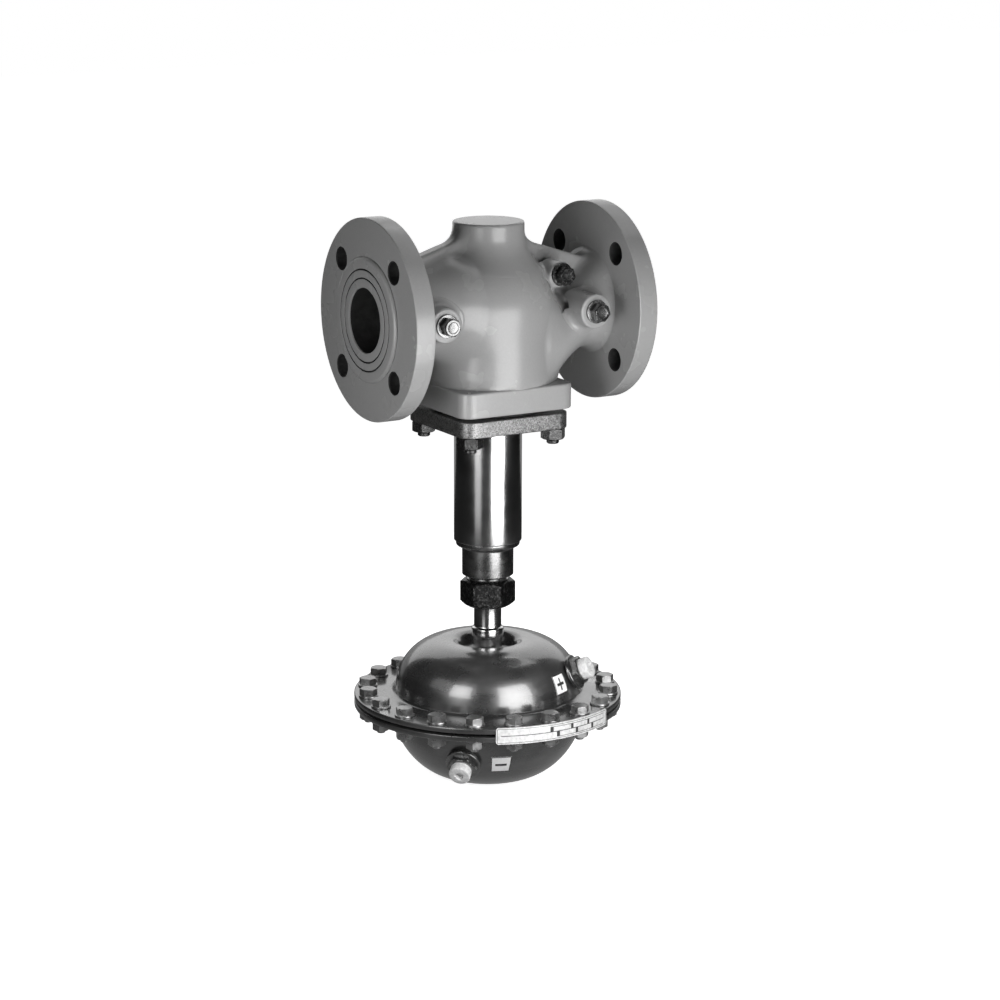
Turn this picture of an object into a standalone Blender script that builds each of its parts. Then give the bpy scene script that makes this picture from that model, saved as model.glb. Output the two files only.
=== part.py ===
"""Differential pressure regulator: a flanged globe body with a diaphragm actuator hung below it.

Metres, +Z up. The pipe's axis is X and the stem's axis is Z, and they cross at the origin.
The valve is shown closed, and its stem moves down to open it.
"""

import math

import bmesh
import bpy
from mathutils import Matrix, Vector

# Hexagons: the turned circle as a share of the flats' circle, and the chamfer's slope
CHAMFER_SHARE = 0.96
CHAMFER_SLOPE = math.tan(math.radians(30))

# Clearances, and how far a cutter runs past the face that it opens
TOUCH_GAP = 0.0003
RUNNING_GAP = 0.0003
BOLT_CLEARANCE = 0.0006
OVERSHOOT = 0.002

# Pipe flanges and necks
FACE_TO_FACE = 0.230
PORT_RADIUS = 0.0265
FLANGE_RADIUS = 0.0825
FLANGE_THICKNESS = 0.020
RAISED_FACE_RADIUS = 0.051
RAISED_FACE_HEIGHT = 0.003
FLANGE_HOLE_RADIUS = 0.009
FLANGE_HOLE_CIRCLE = 0.0625
FLANGE_HOLES = 4
NECK_WALL = 0.0095
NECK_FLARE_LENGTH = 0.020
NECK_FLARE_HEIGHT = 0.010

# Globe, boss and ribs
GLOBE_RADIUS = 0.055
BELL_RADIUS = 0.0535
BOSS_RADIUS = 0.0295
BOSS_TOP = 0.073
BOSS_EDGE = 0.002
BOSS_FILLET = 0.008
BELL_END = 0.004
RIB_WIDTH = 0.014
RIB_CHAMFER = 0.0025
RIB_ROOT = 0.004
LEFT_RIB_BOSS_HEIGHT = 0.060
LEFT_RIB_FLANGE_HEIGHT = 0.039
RIGHT_RIB_BOSS_HEIGHT = 0.056
RIGHT_RIB_FLANGE_HEIGHT = 0.035

# Square joint between body and bonnet
BODY_FLANGE_TOP = -0.058
BODY_FLANGE_THICKNESS = 0.0215
BODY_FLANGE_HALF = 0.053
SQUARE_CORNER = 0.012
SQUARE_EDGE = 0.0015
GASKET_THICKNESS = 0.0018
GASKET_WIDTH = 0.006
GASKET_INSET = 0.001
BONNET_THICKNESS = 0.014
BONNET_HALF = 0.0505
BONNET_EDGE = 0.001
STUD_SPACING = 0.078
STUD_RADIUS = 0.006
STUD_HOLE_DEPTH = 0.017
STUD_HOLE_END = 0.001
STUD_THREAD_END = 0.004
STUD_NUT_ACROSS_FLATS = 0.018
STUD_NUT_HEIGHT = 0.0095

# Flow passages, seat and plug
PASSAGE_BEND_START = 0.098
PASSAGE_BEND_END = 0.040
PASSAGE_END = 0.018
PASSAGE_END_WIDTH = 0.072
UPPER_PASSAGE_HEIGHT = 0.040
LOWER_PASSAGE_HEIGHT = 0.028
NECK_BLEND_START = 0.030
NECK_BLEND_END = 0.015
CHAMBER_RADIUS = 0.040
BRIDGE_TOP = -0.004
BRIDGE_THICKNESS = 0.010
UPPER_CHAMBER_RADIUS = 0.034
UPPER_CHAMBER_SIDE = 0.024
UPPER_CHAMBER_TOP = 0.045
SEAT_RING_RADIUS = 0.0247
SEAT_RADIUS = 0.020
SEAT_COLLAR_RADIUS = 0.028
SEAT_COLLAR_THICKNESS = 0.003
SEAT_LIP = 0.001
PLUG_RADIUS = 0.0235
PLUG_SKIRT = 0.017
PLUG_CHAMFER = 0.003
PLUG_SOCKET_DEPTH = 0.012
PLUG_NOSE = 0.008
NOSE_CLEARANCE = 0.0008
GUIDE_PIN_RADIUS = 0.005
GUIDE_BUSH_WALL = 0.003
GUIDE_BUSH_LENGTH = 0.016
GUIDE_BORE_DEPTH = 0.018
GUIDE_PIN_END = 0.003
STEM_RADIUS = 0.005
TRAVEL = 0.010

# Tapping bosses with their screw plugs; the upper boss is given as right, forward and up
TAPPING_OFFSET = 0.070
TAPPING_FACE = 0.055
TAPPING_RADIUS = 0.0142
TAPPING_HOLE_RADIUS = 0.0055
TAPPING_HOLE_DEPTH = 0.013
TAPPING_HOLE_END = 0.002
UPPER_TAPPING = (0.050, 0.033, 0.029)
UPPER_TAPPING_RADIUS = 0.0105
PLUG_HEAD_ACROSS_FLATS = 0.0135
PLUG_HEAD_LENGTH = 0.0085
PLUG_WASHER_RADIUS = 0.0097
PLUG_WASHER_THICKNESS = 0.002

# Bellows housing tube and its end piece
TUBE_RADIUS = 0.0283
TUBE_WALL = 0.003
TUBE_SOCKET_DEPTH = 0.006
TUBE_LENGTH = 0.104
END_PIECE_SPIGOT = 0.007
END_PIECE_RIM_RADIUS = 0.0265
END_PIECE_RIM_HEIGHT = 0.004
END_PIECE_CHAMFER = 0.002
END_PIECE_RADIUS = 0.0215
END_PIECE_LENGTH = 0.0295
THREAD_RADIUS = 0.0175
THREAD_LENGTH = 0.0166
STEM_GUIDE_WALL = 0.0027
STEM_GUIDE_LENGTH = 0.015
STEM_GUIDE_RECESS = 0.0015
COUPLING_WALL = 0.003
COUPLING_LENGTH = 0.020
COUPLING_ROOM = 0.001
COUPLING_END_ROOM = 0.003
BELLOWS_RADIUS = 0.022
BELLOWS_ROOT_RADIUS = 0.016
BELLOWS_WALL = 0.0015
BELLOWS_WAVES = 6
BELLOWS_RING_THICKNESS = 0.004
BELLOWS_RING_TOP = -0.100

# Coupling nut and actuator neck
NUT_ACROSS_FLATS = 0.040
NUT_HEIGHT = 0.0229
NUT_FLOOR = 0.0066
NECK_PIPE_RADIUS = 0.0115
NECK_PIPE_LENGTH = 0.0257
NECK_HEAD_RADIUS = 0.0172
NECK_HEAD_THICKNESS = 0.0031
NECK_COLLAR_RADIUS = 0.0135
NECK_COLLAR_HEIGHT = 0.009
NECK_FOOT_RADIUS = 0.0122
NECK_FOOT_LENGTH = 0.0133
NECK_SPIGOT_RADIUS = 0.009
NECK_SPIGOT_LENGTH = 0.012
NECK_LOCK_NUT_ACROSS_FLATS = 0.027
NECK_LOCK_NUT_HEIGHT = 0.006

# Diaphragm case
RIM_EDGE = 0.0105
CASE_SHEET = 0.0045
UPPER_DOME_INSET = 0.004
UPPER_DOME_HEIGHT = 0.0445
UPPER_CROWN_RADIUS = 0.036
UPPER_DOME_POWER = 2.1
RIM_FILLET = 0.0035
DISH_DEPTH = 0.0115
DISH_RADIUS = 0.022
DISH_FLOOR_RADIUS = 0.017
LOWER_BOWL_RADIUS = 0.082
LOWER_BOWL_DEPTH = 0.061
LOWER_BOWL_FLOOR_RADIUS = 0.030
LOWER_BOWL_POWER = 1.85
RIM_CORNER = 0.0005
CASE_BOLTS = 20
CASE_BOLT_OFFSET = 0.020
CASE_BOLT_RADIUS = 0.004
CASE_BOLT_ACROSS_FLATS = 0.013
CASE_BOLT_HEAD_HEIGHT = 0.0073
CASE_BOLT_CHAMFER = 0.0006
CASE_BOLT_NUT_HEIGHT = 0.0065
CASE_BOLT_END = 0.003

# Diaphragm, its plates and the set point springs; a spring's wire is given by its radius
DIAPHRAGM_THICKNESS = 0.0019
DIAPHRAGM_LIFT = 0.005
DIAPHRAGM_ROLL_DEPTH = 0.009
DIAPHRAGM_ROLL_MARGIN = 0.0025
DIAPHRAGM_EDGE_MARGIN = 0.0015
PLATE_INSET = 0.018
PLATE_THICKNESS = 0.004
PLATE_LIP = 0.002
SPRING_RING_ROOM = 0.001
SPRING_RING_WALL = 0.003
SPRING_RING_HEIGHT = 0.003
STEM_SHOULDER_RADIUS = 0.009
STEM_SHOULDER_HEIGHT = 0.004
STEM_END = 0.003
DIAPHRAGM_NUT_ACROSS_FLATS = 0.018
DIAPHRAGM_NUT_HEIGHT = 0.009
SPRING_SEAT_EDGE = 0.0028
SPRING_SEAT_THICKNESS = 0.003
SPRING_SEAT_HUB_RADIUS = 0.028
SPRING_SEAT_HUB_HEIGHT = 0.003
OUTER_SPRING_RADIUS = 0.034
OUTER_SPRING_WIRE = 0.0032
OUTER_SPRING_TURNS = 5.0
INNER_SPRING_RADIUS = 0.022
INNER_SPRING_WIRE = 0.0024
INNER_SPRING_TURNS = 6.5
SPRING_COIL_GAP = 0.0003
SPRING_STEPS_PER_TURN = 9

# Control line connections
LOWER_CONNECTION_ANGLE = -135.0
UPPER_CONNECTION_ANGLE = -48.0
CONNECTION_HEIGHT_SHARE = 0.47
CONNECTION_STAND_OFF = 0.0016
CONNECTION_ENTRY = 0.007
CONNECTION_BASE_RADIUS = 0.0148
CONNECTION_BASE_LENGTH = 0.003
CONNECTION_NUT_ACROSS_FLATS = 0.022
CONNECTION_NUT_LENGTH = 0.006
CONNECTION_BODY_RADIUS = 0.0075
CONNECTION_BODY_LENGTH = 0.0115
CONNECTION_BORE_RADIUS = 0.003
CAP_RADIUS = 0.009
CAP_LENGTH = 0.0045
CAP_BORE_RADIUS = 0.004

# Name plate on the rim
NAME_PLATE_START = -116.7
NAME_PLATE_END = -60.5
NAME_PLATE_HEIGHT = 0.014
NAME_PLATE_THICKNESS = 0.0010
NAME_PLATE_CORNER = 0.002

# Radii and heights that follow from the sizes above
UPPER_DOME_RADIUS = LOWER_BOWL_RADIUS - UPPER_DOME_INSET
CASE_BOLT_CIRCLE = LOWER_BOWL_RADIUS + CASE_BOLT_OFFSET
RIM_RADIUS = CASE_BOLT_CIRCLE + RIM_EDGE
PLATE_RADIUS = UPPER_DOME_RADIUS - PLATE_INSET
SPRING_SEAT_RADIUS = OUTER_SPRING_RADIUS + OUTER_SPRING_WIRE + SPRING_SEAT_EDGE
BODY_FLANGE_BOTTOM = BODY_FLANGE_TOP - BODY_FLANGE_THICKNESS
BRIDGE_BOTTOM = BRIDGE_TOP - BRIDGE_THICKNESS
GASKET_TOP = BODY_FLANGE_BOTTOM - TOUCH_GAP
BONNET_TOP = GASKET_TOP - GASKET_THICKNESS - TOUCH_GAP
BONNET_BOTTOM = BONNET_TOP - BONNET_THICKNESS
GUIDE_BORE_TOP = UPPER_CHAMBER_TOP + GUIDE_BORE_DEPTH
SEAT_TOP = BRIDGE_TOP + SEAT_LIP
SEAT_COLLAR_TOP = BRIDGE_BOTTOM - TOUCH_GAP
SEAT_BOTTOM = SEAT_COLLAR_TOP - SEAT_COLLAR_THICKNESS
PLUG_SHOULDER = SEAT_BOTTOM - TOUCH_GAP
PLUG_BOTTOM = PLUG_SHOULDER - PLUG_SKIRT
PLUG_SOCKET_TOP = PLUG_BOTTOM + PLUG_SOCKET_DEPTH
TUBE_TOP = BONNET_BOTTOM + TUBE_SOCKET_DEPTH - TOUCH_GAP
TUBE_BOTTOM = TUBE_TOP - TUBE_LENGTH
END_PIECE_TOP = TUBE_BOTTOM + END_PIECE_SPIGOT
END_PIECE_RIM_TOP = TUBE_BOTTOM - TOUCH_GAP
THREAD_TOP = END_PIECE_RIM_TOP - END_PIECE_LENGTH
END_PIECE_BOTTOM = THREAD_TOP - THREAD_LENGTH
BELLOWS_RING_BOTTOM = BELLOWS_RING_TOP - BELLOWS_RING_THICKNESS
BELLOWS_TOP = BELLOWS_RING_BOTTOM - TOUCH_GAP
BELLOWS_BOTTOM = END_PIECE_TOP + TOUCH_GAP
STEM_GUIDE_TOP = END_PIECE_TOP - STEM_GUIDE_RECESS
STEM_GUIDE_BOTTOM = STEM_GUIDE_TOP - STEM_GUIDE_LENGTH
NECK_HEAD_TOP = END_PIECE_BOTTOM - TOUCH_GAP
NECK_HEAD_BOTTOM = NECK_HEAD_TOP - NECK_HEAD_THICKNESS
NUT_SHELF = NECK_HEAD_BOTTOM - TOUCH_GAP
NUT_BOTTOM = NUT_SHELF - NUT_FLOOR
NUT_TOP = NUT_BOTTOM + NUT_HEIGHT
COUPLING_BOTTOM = END_PIECE_BOTTOM + TRAVEL + COUPLING_END_ROOM
COUPLING_TOP = COUPLING_BOTTOM + COUPLING_LENGTH
STEM_JOINT = (COUPLING_BOTTOM + COUPLING_TOP) / 2
NECK_COLLAR_TOP = NECK_HEAD_BOTTOM - NECK_PIPE_LENGTH
NECK_FOOT_TOP = NECK_COLLAR_TOP - NECK_COLLAR_HEIGHT
NECK_FOOT_BOTTOM = NECK_FOOT_TOP - NECK_FOOT_LENGTH
DISH_TOP = NECK_FOOT_BOTTOM - TOUCH_GAP
DISH_UNDERSIDE = DISH_TOP - CASE_SHEET
CROWN_TOP = DISH_TOP + DISH_DEPTH
RIM_TOP = CROWN_TOP - UPPER_DOME_HEIGHT
RIM_JOINT = RIM_TOP - CASE_SHEET
CLAMP_MIDDLE = RIM_JOINT - TOUCH_GAP - DIAPHRAGM_THICKNESS / 2
LOWER_RIM_TOP = RIM_JOINT - 2 * TOUCH_GAP - DIAPHRAGM_THICKNESS
RIM_BOTTOM = LOWER_RIM_TOP - CASE_SHEET
BOWL_BOTTOM = RIM_BOTTOM - LOWER_BOWL_DEPTH
BOWL_FLOOR = BOWL_BOTTOM + CASE_SHEET
DIAPHRAGM_MIDDLE = CLAMP_MIDDLE + DIAPHRAGM_LIFT
UPPER_PLATE_BOTTOM = DIAPHRAGM_MIDDLE + DIAPHRAGM_THICKNESS / 2 + TOUCH_GAP
UPPER_PLATE_TOP = UPPER_PLATE_BOTTOM + PLATE_THICKNESS
LOWER_PLATE_TOP = DIAPHRAGM_MIDDLE - DIAPHRAGM_THICKNESS / 2 - TOUCH_GAP
LOWER_PLATE_BOTTOM = LOWER_PLATE_TOP - PLATE_THICKNESS
STEM_SHOULDER_BOTTOM = UPPER_PLATE_TOP + TOUCH_GAP
DIAPHRAGM_NUT_TOP = LOWER_PLATE_BOTTOM - TOUCH_GAP
DIAPHRAGM_NUT_BOTTOM = DIAPHRAGM_NUT_TOP - DIAPHRAGM_NUT_HEIGHT
SPRING_SEAT_BOTTOM = BOWL_FLOOR + TOUCH_GAP
SPRING_SEAT_TOP = SPRING_SEAT_BOTTOM + SPRING_SEAT_HUB_HEIGHT + SPRING_SEAT_THICKNESS


def clear_scene():
    """Remove every object that the file opened with."""
    for obj in list(bpy.data.objects):
        bpy.data.objects.remove(obj, do_unlink=True)


def finish(name, grey, roughness, metallic):
    """A neutral finish: one grey level, a roughness and a metallic value."""
    material = bpy.data.materials.new(name)
    material.use_nodes = True
    shader = material.node_tree.nodes["Principled BSDF"]
    shader.inputs["Base Color"].default_value = (grey, grey, grey, 1.0)
    shader.inputs["Roughness"].default_value = roughness
    shader.inputs["Metallic"].default_value = metallic
    return material


def add_object(name, mesh):
    obj = bpy.data.objects.new(name, mesh)
    bpy.context.collection.objects.link(obj)
    return obj


def solid(name, rings, closed):
    """A closed solid through rings of points; a ring of one point is a pole.

    A closed run of rings joins its last ring to its first, as a torus does.
    """
    bm = bmesh.new()
    loops = [[bm.verts.new(point) for point in ring] for ring in rings]
    pairs = list(zip(loops, loops[1:]))
    if closed:
        pairs.append((loops[-1], loops[0]))
    for first, second in pairs:
        join_rings(bm, first, second)
    if not closed:
        for end in (loops[0], loops[-1]):
            if len(end) > 1:
                bm.faces.new(end)
    bmesh.ops.recalc_face_normals(bm, faces=bm.faces)
    mesh = bpy.data.meshes.new(name)
    bm.to_mesh(mesh)
    bm.free()
    return add_object(name, mesh)


def join_rings(bm, first, second):
    """Side faces between two rings, or a fan where one of them is a pole."""
    count = max(len(first), len(second))
    for i in range(count):
        j = (i + 1) % count
        if len(first) == 1:
            bm.faces.new((first[0], second[i], second[j]))
        elif len(second) == 1:
            bm.faces.new((first[i], first[j], second[0]))
        else:
            bm.faces.new((first[i], first[j], second[j], second[i]))


def circle(radius, z, sides, start=0.0):
    """Points round the Z axis; a radius of zero gives one point."""
    if radius < 1e-7:
        return [Vector((0.0, 0.0, z))]
    turns = [start + 2 * math.pi * i / sides for i in range(sides)]
    return [Vector((radius * math.cos(a), radius * math.sin(a), z)) for a in turns]


def turned(name, profile, sides):
    """A solid turned round Z from (radius, height) points.

    A profile that starts and ends on the axis is a plain solid, and any other is a ring.
    """
    rings = [circle(radius, z, sides) for radius, z in profile]
    on_axis = profile[0][0] < 1e-7 and profile[-1][0] < 1e-7
    return solid(name, rings, closed=not on_axis)


def arc(centre_r, centre_z, radius, start, end, steps):
    """Profile points on an arc, angles in degrees from the outward direction."""
    angles = [math.radians(start + (end - start) * i / steps) for i in range(steps + 1)]
    return [(centre_r + radius * math.cos(a), centre_z + radius * math.sin(a)) for a in angles]


def hexagon(across_flats, z, sides=6, fall=0.0):
    """Points round a hexagon, with its corners among them; sides is a multiple of six.

    With a fall, the points follow the edge that a 30 degree cone leaves on the flats: each
    drops by what it lies outside the inscribed circle, times the fall (negative to rise).
    """
    ring = []
    for i in range(sides):
        angle = 2 * math.pi * i / sides
        from_middle = angle % math.radians(60) - math.radians(30)
        radius = across_flats / 2 / math.cos(from_middle)
        drop = (radius - across_flats / 2 * CHAMFER_SHARE) * fall
        ring.append(Vector((radius * math.cos(angle), radius * math.sin(angle), z - drop)))
    return ring


def nut_rings(across_flats, top, bottom, sides):
    """Outer rings of a hexagon, from top to bottom, with its corners turned off at both ends."""
    flat = across_flats / 2 * CHAMFER_SHARE
    return [
        circle(flat, top, sides),
        hexagon(across_flats, top, sides, CHAMFER_SLOPE),
        hexagon(across_flats, bottom, sides, -CHAMFER_SLOPE),
        circle(flat, bottom, sides),
    ]


def rounded_square(half, corner, z, steps=3):
    """Points round a square with arc corners."""
    ring = []
    inner = half - corner
    for quarter, (sx, sy) in enumerate(((1, 1), (-1, 1), (-1, -1), (1, -1))):
        for i in range(steps + 1):
            angle = math.radians(90 * quarter + 90 * i / steps)
            x = sx * inner + corner * math.cos(angle)
            y = sy * inner + corner * math.sin(angle)
            ring.append(Vector((x, y, z)))
    return ring


def place(obj, matrix):
    """Move the mesh itself, so that the object's own transform stays plain."""
    obj.data.transform(matrix)
    if matrix.determinant() < 0:
        obj.data.flip_normals()
    return obj


def turn_to_x(obj):
    """Turn a solid made round Z so that its axis is X."""
    return place(obj, Matrix.Rotation(math.radians(90), 4, "Y"))


def combine(body, tool, operation):
    """Apply an exact Boolean of the tool to the body, and delete the tool."""
    modifier = body.modifiers.new(operation.title(), "BOOLEAN")
    modifier.operation = operation
    modifier.object = tool
    modifier.solver = "EXACT"
    graph = bpy.context.evaluated_depsgraph_get()
    result = bpy.data.meshes.new_from_object(body.evaluated_get(graph))
    body.modifiers.clear()
    worn = body.data
    body.data = result
    bpy.data.meshes.remove(worn)
    bpy.data.objects.remove(tool, do_unlink=True)
    return body


def fuse(body, tool):
    return combine(body, tool, "UNION")


def cut(body, tool):
    return combine(body, tool, "DIFFERENCE")


def dress(obj, material, angle=35.0):
    """Give a finished piece its material and smooth its round faces."""
    obj.data.materials.clear()
    obj.data.materials.append(material)
    obj.data.shade_smooth()
    obj.data.set_sharp_from_angle(angle=math.radians(angle))
    return obj


def cylinder(name, radius, bottom, top, sides):
    return turned(name, [(0.0, top), (radius, top), (radius, bottom), (0.0, bottom)], sides)


def sleeve(name, outer, inner, bottom, top, sides):
    """A plain ring or tube round Z."""
    return turned(name, [(outer, top), (outer, bottom), (inner, bottom), (inner, top)], sides)


def dome_height(radius, rim_radius, crown_radius, height, power):
    """Rise of a pressed dome above its rim: a superellipse between the rim and its flat crown."""
    share = min(max((radius - crown_radius) / (rim_radius - crown_radius), 0.0), 1.0)
    return height * (1.0 - share ** power) ** (1.0 / power)


def dome_points(rim_radius, crown_radius, height, power, steps):
    """Outline of the dome from its rim to its crown, evenly spaced by angle."""
    points = []
    for i in range(steps + 1):
        angle = math.pi / 2 * i / steps
        radius = crown_radius + (rim_radius - crown_radius) * math.cos(angle) ** (2 / power)
        points.append((radius, height * math.sin(angle) ** (2 / power)))
    return points


def make_pipe_flange(side):
    """One pipe flange with its raised face, a plain disc with nothing drilled yet."""
    face = FACE_TO_FACE / 2
    front = face - RAISED_FACE_HEIGHT
    back = face - FLANGE_THICKNESS
    outline = [(0.0, face), (RAISED_FACE_RADIUS, face), (RAISED_FACE_RADIUS, front)]
    outline += [(FLANGE_RADIUS, front), (FLANGE_RADIUS, back), (0.0, back)]
    disc = turn_to_x(turned("pipe_flange", outline, 36))
    if side < 0:
        place(disc, Matrix.Scale(-1, 4, (1, 0, 0)))
    return disc


def tube_along_passage(name, side, stations, sides):
    """A solid that follows one bent passage from its port to its chamber.

    Each station is an x and what the solid adds there to the passage's own half height and
    half width. The passage is round at its port, and flattens as it rises to the bridge's top
    on the left or sinks to the bridge's underside on the right.
    """
    end_half = UPPER_PASSAGE_HEIGHT / 2 if side < 0 else LOWER_PASSAGE_HEIGHT / 2
    end_middle = BRIDGE_TOP + end_half if side < 0 else BRIDGE_BOTTOM - end_half
    rings = []
    for x, wall in stations:
        share = (PASSAGE_BEND_START - x) / (PASSAGE_BEND_START - PASSAGE_BEND_END)
        share = min(max(share, 0.0), 1.0)
        ease = share * share * (3 - 2 * share)
        tall = PORT_RADIUS + (end_half - PORT_RADIUS) * ease + wall
        wide = PORT_RADIUS + (PASSAGE_END_WIDTH / 2 - PORT_RADIUS) * ease + wall
        ring = []
        for i in range(sides):
            angle = 2 * math.pi * (i + 0.5) / sides
            z = end_middle * ease + tall * math.sin(angle)
            ring.append(Vector((side * x, wide * math.cos(angle), z)))
        rings.append(ring)
    return solid(name, rings, closed=False)


def make_neck(side):
    """The wall round one passage, flared at the pipe flange and run out inside the globe."""
    back = FACE_TO_FACE / 2 - FLANGE_THICKNESS
    stations = [(back + OVERSHOOT, NECK_WALL + NECK_FLARE_HEIGHT)]
    for share in (0.0, 0.08, 0.3, 0.6, 1.0):
        flare = NECK_FLARE_HEIGHT * (1 - math.sqrt(1 - (1 - share) ** 2))
        stations.append((back - NECK_FLARE_LENGTH * share, NECK_WALL + flare))
    near = back - NECK_FLARE_LENGTH
    for i in range(1, 5):
        stations.append((near + (NECK_BLEND_START - near) * i / 4, NECK_WALL))
    stations.append((NECK_BLEND_END, 0.0))
    return tube_along_passage("neck", side, stations, 24)


def make_duct(side):
    """One passage itself, as a solid to cut away."""
    stations = [(FACE_TO_FACE / 2 + OVERSHOOT, 0.0)]
    for i in range(6):
        stations.append((PASSAGE_BEND_START + (PASSAGE_BEND_END - PASSAGE_BEND_START) * i / 5, 0.0))
    stations.append((PASSAGE_END, 0.0))
    return tube_along_passage("duct", side, stations, 18)


def globe_outline():
    """Outline of the globe with its boss above and its bell below, from the boss to the flange."""
    foot_radius = BOSS_RADIUS + BOSS_FILLET
    foot = math.sqrt(GLOBE_RADIUS ** 2 - foot_radius ** 2)
    outline = [(0.0, BOSS_TOP)]
    outline += arc(BOSS_RADIUS - BOSS_EDGE, BOSS_TOP - BOSS_EDGE, BOSS_EDGE, 90, 0, 2)
    outline += arc(foot_radius, foot + BOSS_FILLET, BOSS_FILLET, 180, 235, 2)
    top_angle = math.degrees(math.atan2(foot, foot_radius)) - 3
    meeting = -math.degrees(math.acos(BELL_RADIUS / GLOBE_RADIUS))
    outline += arc(0.0, 0.0, GLOBE_RADIUS, top_angle, meeting, 5)
    outline += [(BELL_RADIUS, BODY_FLANGE_TOP - BELL_END), (0.0, BODY_FLANGE_TOP - BELL_END)]
    return outline


def make_rib(side):
    """One of the two ribs that run along the pipe from the boss to a flange."""
    boss_height = LEFT_RIB_BOSS_HEIGHT if side < 0 else RIGHT_RIB_BOSS_HEIGHT
    flange_height = LEFT_RIB_FLANGE_HEIGHT if side < 0 else RIGHT_RIB_FLANGE_HEIGHT
    near = BOSS_RADIUS - BOSS_FILLET
    far = FACE_TO_FACE / 2 - FLANGE_THICKNESS + OVERSHOOT
    half = RIB_WIDTH / 2
    rings = []
    for x, top in ((near, boss_height), (far, flange_height)):
        rings.append([
            Vector((side * x, -half, RIB_ROOT)),
            Vector((side * x, -half, top - RIB_CHAMFER)),
            Vector((side * x, -half + RIB_CHAMFER, top)),
            Vector((side * x, half - RIB_CHAMFER, top)),
            Vector((side * x, half, top - RIB_CHAMFER)),
            Vector((side * x, half, RIB_ROOT)),
        ])
    return solid("rib", rings, closed=False)


def facing_front(obj, x, y, z):
    """Put a solid made round Z so that its +Z end faces the front at (x, y, z)."""
    turn = Matrix.Rotation(math.radians(90), 4, "X")
    return place(obj, Matrix.Translation((x, y, z)) @ turn)


def tapping_places():
    """Name, place and radius of each tapping boss's face."""
    upper_x, upper_y, upper_z = UPPER_TAPPING
    return (
        ("left", (-TAPPING_OFFSET, -TAPPING_FACE, 0.0), TAPPING_RADIUS),
        ("right", (TAPPING_OFFSET, -TAPPING_FACE, 0.0), TAPPING_RADIUS),
        ("upper", (upper_x, -upper_y, upper_z), UPPER_TAPPING_RADIUS),
    )


def make_upper_chamber():
    """The space above the seat bridge, closed by a round roof under the boss."""
    outline = [(0.0, BRIDGE_TOP), (UPPER_CHAMBER_RADIUS, BRIDGE_TOP)]
    rise = UPPER_CHAMBER_TOP - UPPER_CHAMBER_SIDE
    for i in range(4):
        angle = math.radians(90 * i / 3)
        radius = UPPER_CHAMBER_RADIUS * math.cos(angle)
        outline.append((radius, UPPER_CHAMBER_SIDE + rise * math.sin(angle)))
    outline[-1] = (0.0, UPPER_CHAMBER_TOP)
    return turned("upper_chamber", outline, 24)


def stud_places():
    half = STUD_SPACING / 2
    return [(-half, -half), (half, -half), (half, half), (-half, half)]


def make_valve_body(paint):
    """The cast body: globe, necks, flanges, ribs and bosses, with the S-shaped way through it."""
    body = turned("valve_body", globe_outline(), 32)
    for side in (-1, 1):
        neck = make_neck(side)
        fuse(neck, make_pipe_flange(side))
        fuse(neck, make_rib(side))
        fuse(body, neck)
    half = BODY_FLANGE_HALF
    top_ring = rounded_square(half - SQUARE_EDGE, SQUARE_CORNER - SQUARE_EDGE, BODY_FLANGE_TOP)
    side_ring = rounded_square(half, SQUARE_CORNER, BODY_FLANGE_TOP - SQUARE_EDGE)
    bottom_ring = rounded_square(half, SQUARE_CORNER, BODY_FLANGE_BOTTOM)
    fuse(body, solid("square", [top_ring, side_ring, bottom_ring], closed=False))
    for _, (x, y, z), radius in tapping_places():
        boss = cylinder("boss", radius, y + RIB_WIDTH / 2, 0.0, 16)
        fuse(body, facing_front(boss, x, y, z))
    cut_passages(body)
    cut_holes(body)
    return dress(body, paint, 40.0)


def cut_passages(body):
    """Open the ports, both chambers, the seat hole and the bore for the guide bush."""
    chamber_bottom = BODY_FLANGE_BOTTOM - OVERSHOOT
    cut(body, cylinder("chamber", CHAMBER_RADIUS, chamber_bottom, BRIDGE_BOTTOM, 28))
    cut(body, make_upper_chamber())
    for side in (-1, 1):
        cut(body, make_duct(side))
    seat_hole = SEAT_RING_RADIUS + TOUCH_GAP
    hole_bottom = BRIDGE_BOTTOM - OVERSHOOT
    cut(body, cylinder("seat_hole", seat_hole, hole_bottom, BRIDGE_TOP + OVERSHOOT, 24))
    bush_hole = GUIDE_PIN_RADIUS + RUNNING_GAP + GUIDE_BUSH_WALL + TOUCH_GAP
    bore_bottom = UPPER_CHAMBER_TOP - 2 * OVERSHOOT
    cut(body, cylinder("bush_hole", bush_hole, bore_bottom, GUIDE_BORE_TOP, 12))


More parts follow.
